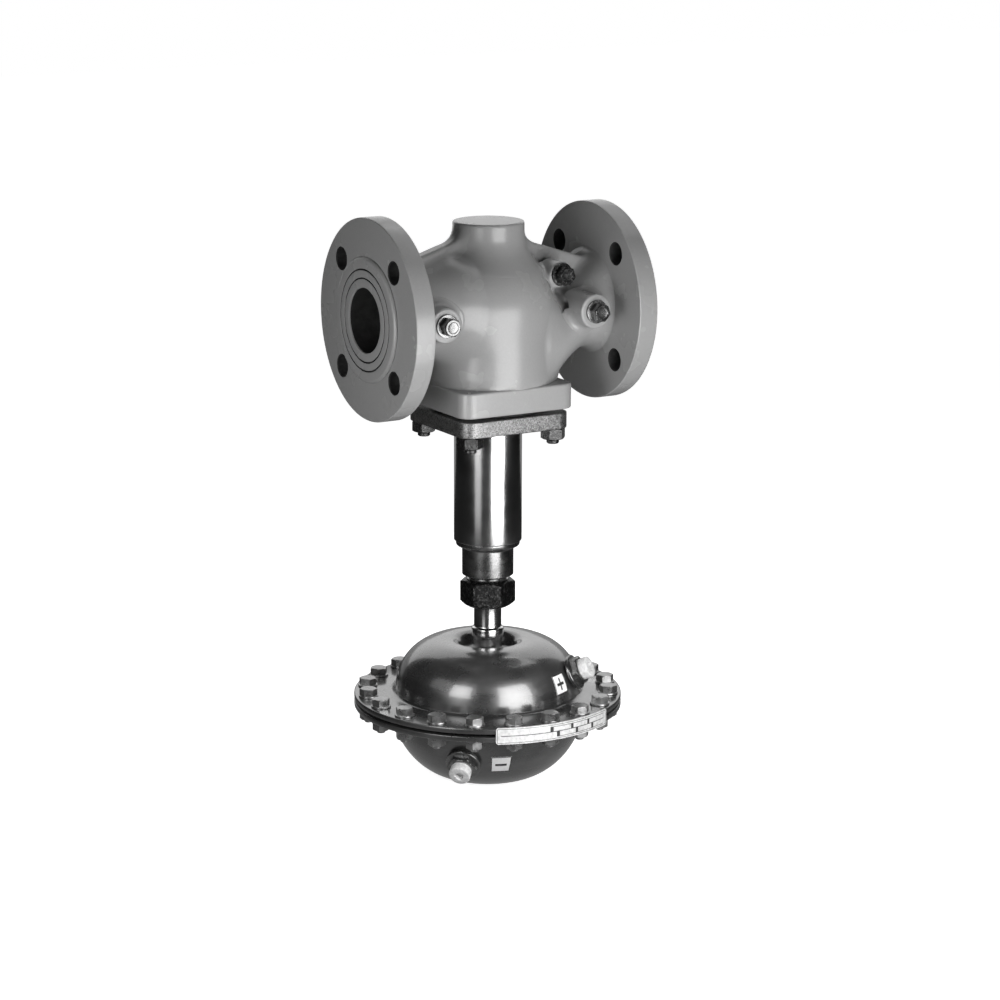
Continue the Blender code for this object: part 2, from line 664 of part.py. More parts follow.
def cut_holes(body):
    """Drill the flanges, the stud holes and the tappings."""
    back = FACE_TO_FACE / 2 - FLANGE_THICKNESS
    thickness = FLANGE_THICKNESS + OVERSHOOT
    for side in (-1, 1):
        for i in range(FLANGE_HOLES):
            angle = math.radians(45) + 2 * math.pi * i / FLANGE_HOLES
            hole = turn_to_x(cylinder("hole", FLANGE_HOLE_RADIUS, -OVERSHOOT, thickness, 10))
            x = back if side > 0 else -FACE_TO_FACE / 2
            y = FLANGE_HOLE_CIRCLE * math.cos(angle)
            z = FLANGE_HOLE_CIRCLE * math.sin(angle)
            cut(body, place(hole, Matrix.Translation((x, y, z))))
    bottom = BODY_FLANGE_BOTTOM - OVERSHOOT
    top = BODY_FLANGE_BOTTOM + STUD_HOLE_DEPTH
    for x, y in stud_places():
        hole = cylinder("hole", STUD_RADIUS + TOUCH_GAP, bottom, top, 10)
        cut(body, place(hole, Matrix.Translation((x, y, 0))))
    for _, (x, y, z), _ in tapping_places():
        hole = cylinder("hole", TAPPING_HOLE_RADIUS, -TAPPING_HOLE_DEPTH, OVERSHOOT, 10)
        cut(body, facing_front(hole, x, y, z))


def make_tapping_plugs(plated):
    """Screw plugs with hexagon heads on flat sealing washers, one in each tapping boss."""
    washer_top = TOUCH_GAP + PLUG_WASHER_THICKNESS
    head_top = washer_top + PLUG_HEAD_LENGTH
    screw = TAPPING_HOLE_RADIUS - TOUCH_GAP
    rings = [
        circle(PLUG_HEAD_ACROSS_FLATS / 2 * CHAMFER_SHARE, head_top, 12),
        hexagon(PLUG_HEAD_ACROSS_FLATS, head_top, 12, CHAMFER_SLOPE),
        hexagon(PLUG_HEAD_ACROSS_FLATS, washer_top, 12),
        circle(PLUG_WASHER_RADIUS, washer_top, 12),
        circle(PLUG_WASHER_RADIUS, TOUCH_GAP, 12),
        circle(screw, TOUCH_GAP, 12),
        circle(screw, TAPPING_HOLE_END - TAPPING_HOLE_DEPTH, 12),
    ]
    for name, (x, y, z), _ in tapping_places():
        plug = solid("tapping_plug_" + name, rings, closed=False)
        dress(facing_front(plug, x, y, z), plated)


def make_seat(steel):
    """The seat ring, screwed up into the bridge from below against its collar."""
    outline = [(SEAT_RING_RADIUS, SEAT_TOP), (SEAT_RING_RADIUS, SEAT_COLLAR_TOP)]
    outline += [(SEAT_COLLAR_RADIUS, SEAT_COLLAR_TOP), (SEAT_COLLAR_RADIUS, SEAT_BOTTOM)]
    outline += [(SEAT_RADIUS, SEAT_BOTTOM), (SEAT_RADIUS, SEAT_TOP)]
    dress(turned("seat_ring", outline, 24), steel)


def make_guide_bush(bronze):
    """The bush in the boss that guides the pin on top of the plug."""
    inner = GUIDE_PIN_RADIUS + RUNNING_GAP
    top = GUIDE_BORE_TOP - TOUCH_GAP
    bush = sleeve("guide_bush", inner + GUIDE_BUSH_WALL, inner, top - GUIDE_BUSH_LENGTH, top, 12)
    dress(bush, bronze)


def make_plug(steel):
    """The plug: a nose in the seat, a shoulder under it, a skirt and the guide pin above."""
    pin_top = GUIDE_BORE_TOP - GUIDE_PIN_END
    nose_radius = SEAT_RADIUS - NOSE_CLEARANCE
    nose_top = PLUG_SHOULDER + PLUG_NOSE
    outline = [(0.0, pin_top), (GUIDE_PIN_RADIUS, pin_top), (GUIDE_PIN_RADIUS, nose_top)]
    outline += [(nose_radius * 0.55, nose_top), (nose_radius * 0.9, nose_top - PLUG_NOSE * 0.45)]
    outline += [(nose_radius, PLUG_SHOULDER), (PLUG_RADIUS, PLUG_SHOULDER)]
    outline += [(PLUG_RADIUS, PLUG_BOTTOM + PLUG_CHAMFER), (PLUG_RADIUS - PLUG_CHAMFER, PLUG_BOTTOM)]
    socket = STEM_RADIUS + TOUCH_GAP
    outline += [(socket, PLUG_BOTTOM), (socket, PLUG_SOCKET_TOP), (0.0, PLUG_SOCKET_TOP)]
    dress(turned("valve_plug", outline, 20), steel)


def make_plug_stem(steel):
    """The stem from the plug's socket down through the bellows to the coupling."""
    top = PLUG_SOCKET_TOP - TOUCH_GAP
    dress(cylinder("plug_stem", STEM_RADIUS, STEM_JOINT + TOUCH_GAP, top, 12), steel)


def make_gasket(fibre):
    inner = CHAMBER_RADIUS + GASKET_INSET
    bottom = GASKET_TOP - GASKET_THICKNESS
    dress(sleeve("body_gasket", inner + GASKET_WIDTH, inner, bottom, GASKET_TOP, 24), fibre)


def make_bonnet_flange(plated):
    """The square flange that carries the bellows housing, drilled for four studs."""
    edge = BONNET_EDGE
    rings = [
        rounded_square(BONNET_HALF - edge, SQUARE_CORNER, BONNET_TOP),
        rounded_square(BONNET_HALF, SQUARE_CORNER + edge, BONNET_TOP - edge),
        rounded_square(BONNET_HALF, SQUARE_CORNER + edge, BONNET_BOTTOM + edge),
        rounded_square(BONNET_HALF - edge, SQUARE_CORNER, BONNET_BOTTOM),
    ]
    flange = solid("bonnet_flange", rings, closed=False)
    bottom = BONNET_BOTTOM - OVERSHOOT
    top = BONNET_TOP + OVERSHOOT
    cut(flange, cylinder("way", TUBE_RADIUS - TUBE_WALL, bottom, top, 24))
    socket_top = BONNET_BOTTOM + TUBE_SOCKET_DEPTH
    cut(flange, cylinder("socket", TUBE_RADIUS + TOUCH_GAP, bottom, socket_top, 24))
    for x, y in stud_places():
        hole = cylinder("hole", STUD_RADIUS + BOLT_CLEARANCE, bottom, top, 10)
        cut(flange, place(hole, Matrix.Translation((x, y, 0))))
    dress(flange, plated)


def make_bonnet_studs(plated):
    """Four studs screwed into the body, each with the nut that holds the bonnet flange up."""
    top = BODY_FLANGE_BOTTOM + STUD_HOLE_DEPTH - STUD_HOLE_END
    nut_top = BONNET_BOTTOM - TOUCH_GAP
    nut_bottom = nut_top - STUD_NUT_HEIGHT
    end = nut_bottom - STUD_THREAD_END
    rings = [circle(STUD_RADIUS, top, 12), circle(STUD_RADIUS, nut_top, 12)]
    rings += nut_rings(STUD_NUT_ACROSS_FLATS, nut_top, nut_bottom, 12)
    rings += [circle(STUD_RADIUS * 0.9, nut_bottom, 12), circle(STUD_RADIUS * 0.9, end, 12)]
    for number, (x, y) in enumerate(stud_places(), 1):
        stud = solid("bonnet_stud_%d" % number, rings, closed=False)
        dress(place(stud, Matrix.Translation((x, y, 0))), plated)


def make_tube(chrome):
    inner = TUBE_RADIUS - TUBE_WALL
    dress(sleeve("bellows_tube", TUBE_RADIUS, inner, TUBE_BOTTOM, TUBE_TOP, 32), chrome)


def make_end_piece(steel):
    """The turned piece that closes the tube, with the thread for the coupling nut."""
    spigot = TUBE_RADIUS - TUBE_WALL - TOUCH_GAP
    guide = STEM_RADIUS + RUNNING_GAP + STEM_GUIDE_WALL + TOUCH_GAP
    room = STEM_RADIUS + TOUCH_GAP + COUPLING_WALL + COUPLING_ROOM
    throat = (STEM_RADIUS + guide) / 2
    shelf = STEM_GUIDE_BOTTOM - TOUCH_GAP
    chamfer = END_PIECE_CHAMFER
    rim_bottom = END_PIECE_RIM_TOP - END_PIECE_RIM_HEIGHT
    outline = [(spigot, END_PIECE_TOP), (spigot, END_PIECE_RIM_TOP)]
    outline += [(END_PIECE_RIM_RADIUS, END_PIECE_RIM_TOP), (END_PIECE_RIM_RADIUS, rim_bottom + chamfer)]
    outline += [(END_PIECE_RADIUS + chamfer / 2, rim_bottom), (END_PIECE_RADIUS, rim_bottom - chamfer)]
    outline += [(END_PIECE_RADIUS, THREAD_TOP + chamfer), (THREAD_RADIUS, THREAD_TOP)]
    outline += [(THREAD_RADIUS, END_PIECE_BOTTOM), (room, END_PIECE_BOTTOM)]
    outline += [(room, shelf - chamfer), (throat, shelf - chamfer), (throat, shelf), (guide, shelf)]
    outline += [(guide, END_PIECE_TOP)]
    dress(turned("tube_end_piece", outline, 20), steel)


def make_stem_guide(bronze):
    inner = STEM_RADIUS + RUNNING_GAP
    outer = inner + STEM_GUIDE_WALL
    dress(sleeve("stem_guide", outer, inner, STEM_GUIDE_BOTTOM, STEM_GUIDE_TOP, 12), bronze)


def make_bellows(steel):
    """The balancing bellows: a thin corrugated sleeve between the moving ring and the end piece."""
    step = (BELLOWS_TOP - BELLOWS_BOTTOM) / (2 * BELLOWS_WAVES)
    outer = []
    for i in range(2 * BELLOWS_WAVES + 1):
        radius = BELLOWS_RADIUS if i % 2 else BELLOWS_ROOT_RADIUS
        outer.append((radius, BELLOWS_TOP - step * i))
    inner = [(radius - BELLOWS_WALL, z) for radius, z in reversed(outer)]
    dress(turned("balance_bellows", outer + inner, 14), steel, 20.0)


def make_bellows_ring(steel):
    inner = STEM_RADIUS + TOUCH_GAP
    ring = sleeve("bellows_ring", BELLOWS_RADIUS, inner, BELLOWS_RING_BOTTOM, BELLOWS_RING_TOP, 16)
    dress(ring, steel)


def make_stem_coupling(steel):
    """The sleeve that joins the plug's stem to the actuator's stem."""
    inner = STEM_RADIUS + TOUCH_GAP
    outer = inner + COUPLING_WALL
    dress(sleeve("stem_coupling", outer, inner, COUPLING_BOTTOM, COUPLING_TOP, 12), steel)


def make_coupling_nut(forged):
    """The union nut that pulls the actuator's neck up against the tube's end piece."""
    thread = THREAD_RADIUS + TOUCH_GAP
    hole = NECK_PIPE_RADIUS + TOUCH_GAP
    rings = nut_rings(NUT_ACROSS_FLATS, NUT_TOP, NUT_BOTTOM, 24)
    rings += [circle(hole, NUT_BOTTOM, 24), circle(hole, NUT_SHELF, 24)]
    rings += [circle(thread, NUT_SHELF, 24), circle(thread, NUT_TOP, 24)]
    dress(solid("coupling_nut", rings, closed=True), forged)


def make_actuator_neck(steel):
    """The actuator's neck: a head in the union nut, a collar, a foot on the dish and a spigot."""
    bore = STEM_RADIUS + RUNNING_GAP
    spigot_bottom = NECK_FOOT_BOTTOM - NECK_SPIGOT_LENGTH
    outline = [(NECK_HEAD_RADIUS, NECK_HEAD_TOP), (NECK_HEAD_RADIUS, NECK_HEAD_BOTTOM)]
    outline += [(NECK_PIPE_RADIUS, NECK_HEAD_BOTTOM), (NECK_PIPE_RADIUS, NECK_COLLAR_TOP)]
    outline += [(NECK_COLLAR_RADIUS, NECK_COLLAR_TOP), (NECK_COLLAR_RADIUS, NECK_FOOT_TOP)]
    outline += [(NECK_FOOT_RADIUS, NECK_FOOT_TOP), (NECK_FOOT_RADIUS, NECK_FOOT_BOTTOM)]
    outline += [(NECK_SPIGOT_RADIUS, NECK_FOOT_BOTTOM), (NECK_SPIGOT_RADIUS, spigot_bottom)]
    outline += [(bore, spigot_bottom), (bore, NECK_HEAD_TOP)]
    dress(turned("actuator_neck", outline, 20), steel)


def make_neck_lock_nut(steel):
    top = DISH_UNDERSIDE - TOUCH_GAP
    bore = NECK_SPIGOT_RADIUS + TOUCH_GAP
    bottom = top - NECK_LOCK_NUT_HEIGHT
    rings = nut_rings(NECK_LOCK_NUT_ACROSS_FLATS, top, bottom, 18)
    rings += [circle(bore, bottom, 18), circle(bore, top, 18)]
    dress(solid("neck_lock_nut", rings, closed=True), steel)


def cut_bolt_holes(piece, bottom, top):
    """Drill the ring of bolt holes through a rim, with no hole's corner on a seam of the rim."""
    corner_turn = Matrix.Rotation(math.radians(11.0), 4, "Z")
    out = Matrix.Translation((CASE_BOLT_CIRCLE, 0, 0))
    radius = CASE_BOLT_RADIUS + BOLT_CLEARANCE
    for i in range(CASE_BOLTS):
        hole = cylinder("hole", radius, bottom - OVERSHOOT / 2, top + OVERSHOOT / 2, 6)
        around = Matrix.Rotation(2 * math.pi * i / CASE_BOLTS, 4, "Z")
        cut(piece, place(hole, around @ out @ corner_turn))


def connection_frame(angle, upper):
    """Where a control line connection stands on its case, as a matrix whose Z points outwards."""
    if upper:
        rim, crown, height = UPPER_DOME_RADIUS, UPPER_CROWN_RADIUS, UPPER_DOME_HEIGHT
        power, base, sign = UPPER_DOME_POWER, RIM_TOP, 1.0
    else:
        rim, crown, height = LOWER_BOWL_RADIUS, LOWER_BOWL_FLOOR_RADIUS, LOWER_BOWL_DEPTH
        power, base, sign = LOWER_BOWL_POWER, RIM_BOTTOM, -1.0
    share = (1.0 - CONNECTION_HEIGHT_SHARE ** power) ** (1.0 / power)
    radius = crown + (rim - crown) * share
    step = CASE_SHEET / 10
    rise = dome_height(radius, rim, crown, height, power)
    slope = (dome_height(radius + step, rim, crown, height, power) - rise) / step
    outward = Vector((-slope, 0.0, sign)).normalized()
    turn = Matrix.Rotation(math.radians(angle), 4, "Z")
    upright = Vector((0, 0, 1)).rotation_difference(outward).to_matrix().to_4x4()
    return turn @ Matrix.Translation((radius, 0.0, base + sign * rise)) @ upright


def upper_case_outline(sheet, steps):
    """Outline of the upper case from the neck's hole, over the crown, out to the foot of the dome.

    A sheet thickness of zero gives the outer side, and the case's own sheet its inner side.
    The dish falls from the crown to its floor through a point halfway down.
    """
    dish = DISH_TOP - sheet
    outline = [(NECK_SPIGOT_RADIUS + TOUCH_GAP, dish), (DISH_FLOOR_RADIUS, dish)]
    outline.append(((DISH_RADIUS + UPPER_CROWN_RADIUS) / 2, dish + DISH_DEPTH / 2))
    dome = dome_points(UPPER_DOME_RADIUS - sheet, UPPER_CROWN_RADIUS, UPPER_DOME_HEIGHT - sheet,
                       UPPER_DOME_POWER, steps)
    outline += [(radius, RIM_TOP + rise) for radius, rise in reversed(dome[1:])]
    return outline


def make_upper_case(painted):
    """The upper diaphragm case, pressed from sheet: a dished crown, a dome and a flat rim."""
    outer = upper_case_outline(0.0, 6)
    outer += [(UPPER_DOME_RADIUS + RIM_CORNER, RIM_TOP + RIM_FILLET)]
    outer += [(UPPER_DOME_RADIUS + RIM_FILLET, RIM_TOP), (RIM_RADIUS, RIM_TOP)]
    inner = upper_case_outline(CASE_SHEET, 4)
    inner += [(UPPER_DOME_RADIUS - CASE_SHEET, RIM_TOP)]
    inner += [(UPPER_DOME_RADIUS - CASE_SHEET / 2, RIM_JOINT), (RIM_RADIUS, RIM_JOINT)]
    case = turned("upper_case", outer + inner[::-1], 36)
    cut_bolt_holes(case, RIM_JOINT, RIM_TOP)
    cut_connection_hole(case, UPPER_CONNECTION_ANGLE, True)
    dress(case, painted)


def lower_case_outline(sheet, steps):
    """Outline of the lower case's bowl from its middle out to its rim, outer or inner side."""
    dome = dome_points(LOWER_BOWL_RADIUS - sheet, LOWER_BOWL_FLOOR_RADIUS, LOWER_BOWL_DEPTH - sheet,
                       LOWER_BOWL_POWER, steps)
    bowl = [(radius, RIM_BOTTOM - rise) for radius, rise in reversed(dome[1:])]
    return [(0.0, BOWL_BOTTOM + sheet)] + bowl


def make_lower_case(painted):
    """The lower diaphragm case: a deeper bowl under a flat rim, which holds the springs."""
    outer = lower_case_outline(0.0, 7)
    outer += [(LOWER_BOWL_RADIUS + RIM_CORNER, RIM_BOTTOM - RIM_FILLET)]
    outer += [(LOWER_BOWL_RADIUS + RIM_FILLET, RIM_BOTTOM), (RIM_RADIUS, RIM_BOTTOM)]
    inner = lower_case_outline(CASE_SHEET, 4)
    inner += [(LOWER_BOWL_RADIUS - CASE_SHEET, RIM_BOTTOM)]
    inner += [(LOWER_BOWL_RADIUS - CASE_SHEET / 2, LOWER_RIM_TOP), (RIM_RADIUS, LOWER_RIM_TOP)]
    case = turned("lower_case", outer + inner[::-1], 36)
    cut_bolt_holes(case, RIM_BOTTOM, LOWER_RIM_TOP)
    cut_connection_hole(case, LOWER_CONNECTION_ANGLE, False)
    dress(case, painted)


def cut_connection_hole(case, angle, upper):
    """Open the case where a control line connection screws in."""
    radius = CONNECTION_BODY_RADIUS + TOUCH_GAP
    hole = cylinder("hole", radius, -2 * CONNECTION_ENTRY, CONNECTION_STAND_OFF * 2, 12)
    cut(case, place(hole, connection_frame(angle, upper)))


def make_case_bolts(plated):
    """The bolts round the rim: a head above it and a nut below it on one shank."""
    head_bottom = RIM_TOP + TOUCH_GAP
    head_top = head_bottom + CASE_BOLT_HEAD_HEIGHT
    nut_top = RIM_BOTTOM - TOUCH_GAP
    nut_bottom = nut_top - CASE_BOLT_NUT_HEIGHT
    rings = [
        circle(CASE_BOLT_ACROSS_FLATS / 2, head_top, 6),
        hexagon(CASE_BOLT_ACROSS_FLATS, head_top - CASE_BOLT_CHAMFER),
        hexagon(CASE_BOLT_ACROSS_FLATS, head_bottom),
        circle(CASE_BOLT_RADIUS, head_bottom, 6),
        circle(CASE_BOLT_RADIUS, nut_top, 6),
        hexagon(CASE_BOLT_ACROSS_FLATS, nut_top),
        hexagon(CASE_BOLT_ACROSS_FLATS, nut_bottom),
        circle(CASE_BOLT_RADIUS, nut_bottom, 6),
        circle(CASE_BOLT_RADIUS, nut_bottom - CASE_BOLT_END, 6),
    ]
    for i in range(CASE_BOLTS):
        angle = 2 * math.pi * i / CASE_BOLTS
        bolt = solid("case_bolt_%02d" % (i + 1), rings, closed=False)
        out = Matrix.Translation((CASE_BOLT_CIRCLE, 0, 0))
        dress(place(bolt, Matrix.Rotation(angle, 4, "Z") @ out), plated)


def sheet_faces(middle, thickness):
    """Both faces of a bent sheet about its middle line, as one closed outline."""
    near = []
    far = []
    for i, (radius, z) in enumerate(middle):
        before = middle[max(i - 1, 0)]
        after = middle[min(i + 1, len(middle) - 1)]
        run = after[0] - before[0]
        rise = after[1] - before[1]
        half = thickness / 2 / math.hypot(run, rise)
        near.append((radius + rise * half, z - run * half))
        far.append((radius - rise * half, z + run * half))
    return near + far[::-1]


def make_diaphragm(rubber):
    """The rolling diaphragm, clamped inside the bolt circle and hung in a roll round its plates."""
    sheet = DIAPHRAGM_THICKNESS
    edge = CASE_BOLT_CIRCLE - CASE_BOLT_RADIUS - DIAPHRAGM_EDGE_MARGIN
    roll_outer = LOWER_BOWL_RADIUS - CASE_SHEET - DIAPHRAGM_ROLL_MARGIN
    roll_inner = PLATE_RADIUS + DIAPHRAGM_ROLL_MARGIN
    quarter = (roll_outer - roll_inner) / 4
    roll_bottom = CLAMP_MIDDLE - DIAPHRAGM_ROLL_DEPTH
    middle = [(edge, CLAMP_MIDDLE), (roll_outer + sheet, CLAMP_MIDDLE)]
    middle += [(roll_outer, CLAMP_MIDDLE - 1.5 * sheet)]
    middle += [(roll_outer - quarter, roll_bottom), (roll_inner + quarter, roll_bottom)]
    middle += [(roll_inner, DIAPHRAGM_MIDDLE - 1.5 * sheet), (roll_inner - sheet, DIAPHRAGM_MIDDLE)]
    middle += [(STEM_RADIUS + TOUCH_GAP, DIAPHRAGM_MIDDLE)]
    dress(turned("diaphragm", sheet_faces(middle, sheet), 32), rubber)


def make_plates(steel):
    """The two plates that hold the middle of the diaphragm; the lower one centres the springs."""
    hole = STEM_RADIUS + TOUCH_GAP
    upper = [(hole, UPPER_PLATE_TOP), (PLATE_RADIUS - PLATE_LIP, UPPER_PLATE_TOP)]
    upper += [(PLATE_RADIUS, UPPER_PLATE_TOP - PLATE_LIP), (PLATE_RADIUS, UPPER_PLATE_BOTTOM)]
    upper += [(hole, UPPER_PLATE_BOTTOM)]
    dress(turned("upper_plate", upper, 28), steel)
    ring = OUTER_SPRING_RADIUS + OUTER_SPRING_WIRE + SPRING_RING_ROOM
    ring_outer = ring + SPRING_RING_WALL
    ring_bottom = LOWER_PLATE_BOTTOM - SPRING_RING_HEIGHT
    lower = [(hole, LOWER_PLATE_TOP), (PLATE_RADIUS, LOWER_PLATE_TOP)]
    lower += [(PLATE_RADIUS, LOWER_PLATE_BOTTOM), (ring_outer, LOWER_PLATE_BOTTOM)]
    lower += [(ring_outer, ring_bottom), (ring, ring_bottom)]
    lower += [(ring, LOWER_PLATE_BOTTOM), (hole, LOWER_PLATE_BOTTOM)]
    dress(turned("lower_plate", lower, 28), steel)


def make_diaphragm_stem(steel):
    """The actuator's stem, with the shoulder that bears on the upper plate."""
    top = STEM_JOINT - TOUCH_GAP
    bottom = DIAPHRAGM_NUT_BOTTOM - STEM_END
    shoulder_top = STEM_SHOULDER_BOTTOM + STEM_SHOULDER_HEIGHT
    outline = [(0.0, top), (STEM_RADIUS, top)]
    outline += [(STEM_RADIUS, shoulder_top), (STEM_SHOULDER_RADIUS, shoulder_top)]
    outline += [(STEM_SHOULDER_RADIUS, STEM_SHOULDER_BOTTOM), (STEM_RADIUS, STEM_SHOULDER_BOTTOM)]
    outline += [(STEM_RADIUS, bottom), (0.0, bottom)]
    dress(turned("diaphragm_stem", outline, 12), steel)


def make_diaphragm_nut(steel):
    bore = STEM_RADIUS + TOUCH_GAP
    rings = nut_rings(DIAPHRAGM_NUT_ACROSS_FLATS, DIAPHRAGM_NUT_TOP, DIAPHRAGM_NUT_BOTTOM, 12)
    rings += [circle(bore, DIAPHRAGM_NUT_BOTTOM, 12), circle(bore, DIAPHRAGM_NUT_TOP, 12)]
    dress(solid("diaphragm_nut", rings, closed=True), steel)


def make_spring_seat(steel):
    hub_top = SPRING_SEAT_BOTTOM + SPRING_SEAT_HUB_HEIGHT
    outline = [(0.0, SPRING_SEAT_TOP), (SPRING_SEAT_RADIUS, SPRING_SEAT_TOP)]
    outline += [(SPRING_SEAT_RADIUS, hub_top), (SPRING_SEAT_HUB_RADIUS, hub_top)]
    outline += [(SPRING_SEAT_HUB_RADIUS, SPRING_SEAT_BOTTOM), (0.0, SPRING_SEAT_BOTTOM)]
    dress(turned("spring_seat", outline, 24), steel)


def coil_height(turn, turns, wire, length):
    """Height along a coil: a closed turn at each end and an even pitch between them."""
    closed = 2 * wire + SPRING_COIL_GAP
    rise = length - 2 * wire - 2 * closed
    if turn < 1.0:
        return wire + closed * turn
    if turn > turns - 1.0:
        return length - wire - closed * (turns - turn)
    return wire + closed + rise * (turn - 1.0) / (turns - 2.0)


def make_spring(name, radius, wire, turns, steel):
    """A coil spring with closed ends, its wire carried along the coil by its local frame."""
    bottom = SPRING_SEAT_TOP + TOUCH_GAP
    top = LOWER_PLATE_BOTTOM - TOUCH_GAP
    steps = int(turns * SPRING_STEPS_PER_TURN)
    rings = []
    for i in range(steps + 1):
        turn = turns * i / steps
        angle = 2 * math.pi * turn
        outward = Vector((math.cos(angle), math.sin(angle), 0.0))
        z = bottom + coil_height(turn, turns, wire, top - bottom)
        ring = []
        for k in range(5):
            round_wire = 2 * math.pi * k / 5
            shift = outward * (wire * math.cos(round_wire))
            ring.append(outward * radius + shift + Vector((0, 0, z + wire * math.sin(round_wire))))
        rings.append(ring)
    dress(solid(name, rings, closed=False), steel, 60.0)


def make_connection(name, angle, upper, plated, plastic):
    """A control line connection: a screwed body with its hexagon, and a plastic cap on its end."""
    frame = connection_frame(angle, upper)
    sides = 12
    base_top = CONNECTION_STAND_OFF + CONNECTION_BASE_LENGTH
    body_top = CONNECTION_STAND_OFF + CONNECTION_BODY_LENGTH
    rings = [
        circle(CONNECTION_BODY_RADIUS, -CONNECTION_ENTRY, sides),
        circle(CONNECTION_BODY_RADIUS, CONNECTION_STAND_OFF, sides),
        circle(CONNECTION_BASE_RADIUS, CONNECTION_STAND_OFF, sides),
        circle(CONNECTION_BASE_RADIUS, base_top, sides),
        hexagon(CONNECTION_NUT_ACROSS_FLATS, base_top, sides),
        hexagon(CONNECTION_NUT_ACROSS_FLATS, base_top + CONNECTION_NUT_LENGTH, sides, CHAMFER_SLOPE),
        circle(CONNECTION_BODY_RADIUS, base_top + CONNECTION_NUT_LENGTH, sides),
        circle(CONNECTION_BODY_RADIUS, body_top, sides),
        circle(CONNECTION_BORE_RADIUS, body_top, sides),
        circle(CONNECTION_BORE_RADIUS, -CONNECTION_ENTRY, sides),
    ]
    dress(place(solid("connection_" + name, rings, closed=True), frame), plated)
    cap_bottom = body_top + TOUCH_GAP
    cap_top = cap_bottom + CAP_LENGTH
    cap = sleeve("cap_" + name, CAP_RADIUS, CAP_BORE_RADIUS, cap_bottom, cap_top, sides)
    dress(place(cap, frame), plastic)


def make_name_plate(metal):
    """The blank plate bent round the rim, as a strip with rounded corners."""
    inner = RIM_RADIUS + TOUCH_GAP
    outer = inner + NAME_PLATE_THICKNESS
    middle = (RIM_TOP + RIM_BOTTOM) / 2
    rings = []
    corner_turn = math.degrees(NAME_PLATE_CORNER / outer)
    span = NAME_PLATE_END - NAME_PLATE_START
    turns = [0.0, corner_turn] + [span * i / 16 for i in range(1, 16)]
    turns += [span - corner_turn, span]
    for i, turn in enumerate(turns):
        angle = math.radians(NAME_PLATE_START + turn)
        end = i in (0, len(turns) - 1)
        half = NAME_PLATE_HEIGHT / 2 - (NAME_PLATE_CORNER if end else 0.0)
        ring = []
        for radius, z in ((outer, half), (outer, -half), (inner, -half), (inner, half)):
            ring.append(Vector((radius * math.cos(angle), radius * math.sin(angle), middle + z)))
        rings.append(ring)
    dress(solid("name_plate", rings, closed=False), metal)


def build():
    clear_scene()
    paint = finish("body_paint", 0.38, 0.42, 0.0)
    case_paint = finish("case_paint", 0.06, 0.30, 0.6)
    plated = finish("zinc_plated", 0.45, 0.35, 0.9)
    chrome = finish("plated_tube", 0.50, 0.20, 1.0)
    steel = finish("machined_steel", 0.40, 0.35, 1.0)
    forged = finish("forged_nut", 0.16, 0.50, 0.9)
    bronze = finish("bearing_bronze", 0.35, 0.35, 1.0)
    spring_steel = finish("spring_steel", 0.20, 0.40, 1.0)
    rubber = finish("diaphragm_rubber", 0.03, 0.70, 0.0)
    fibre = finish("gasket_fibre", 0.05, 0.80, 0.0)
    plastic = finish("cap_plastic", 0.75, 0.45, 0.0)
    plate_metal = finish("plate_metal", 0.65, 0.35, 0.8)

    make_valve_body(paint)
    make_tapping_plugs(plated)
    make_seat(steel)
    make_guide_bush(bronze)
    make_gasket(fibre)
    make_bonnet_flange(plated)
    make_bonnet_studs(plated)
    make_tube(chrome)
    make_end_piece(steel)
    make_stem_guide(bronze)
    make_coupling_nut(forged)
    make_actuator_neck(steel)
    make_neck_lock_nut(steel)
    make_upper_case(case_paint)
    make_lower_case(case_paint)
    make_case_bolts(plated)
    make_connection("lower", LOWER_CONNECTION_ANGLE, False, plated, plastic)
    make_connection("upper", UPPER_CONNECTION_ANGLE, True, plated, plastic)
    make_name_plate(plate_metal)
    make_spring_seat(steel)

    make_plug(steel)
    make_plug_stem(steel)
    make_bellows_ring(steel)
    make_bellows(steel)
    make_stem_coupling(steel)
    make_diaphragm_stem(steel)
    make_diaphragm(rubber)
    make_plates(steel)
    make_diaphragm_nut(steel)
    make_spring("set_point_spring_outer", OUTER_SPRING_RADIUS, OUTER_SPRING_WIRE, OUTER_SPRING_TURNS,
                spring_steel)
    make_spring("set_point_spring_inner", INNER_SPRING_RADIUS, INNER_SPRING_WIRE, INNER_SPRING_TURNS,
                spring_steel)


build()
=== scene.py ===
import math

import bmesh
import bpy
import numpy as np
from mathutils import Matrix, Vector


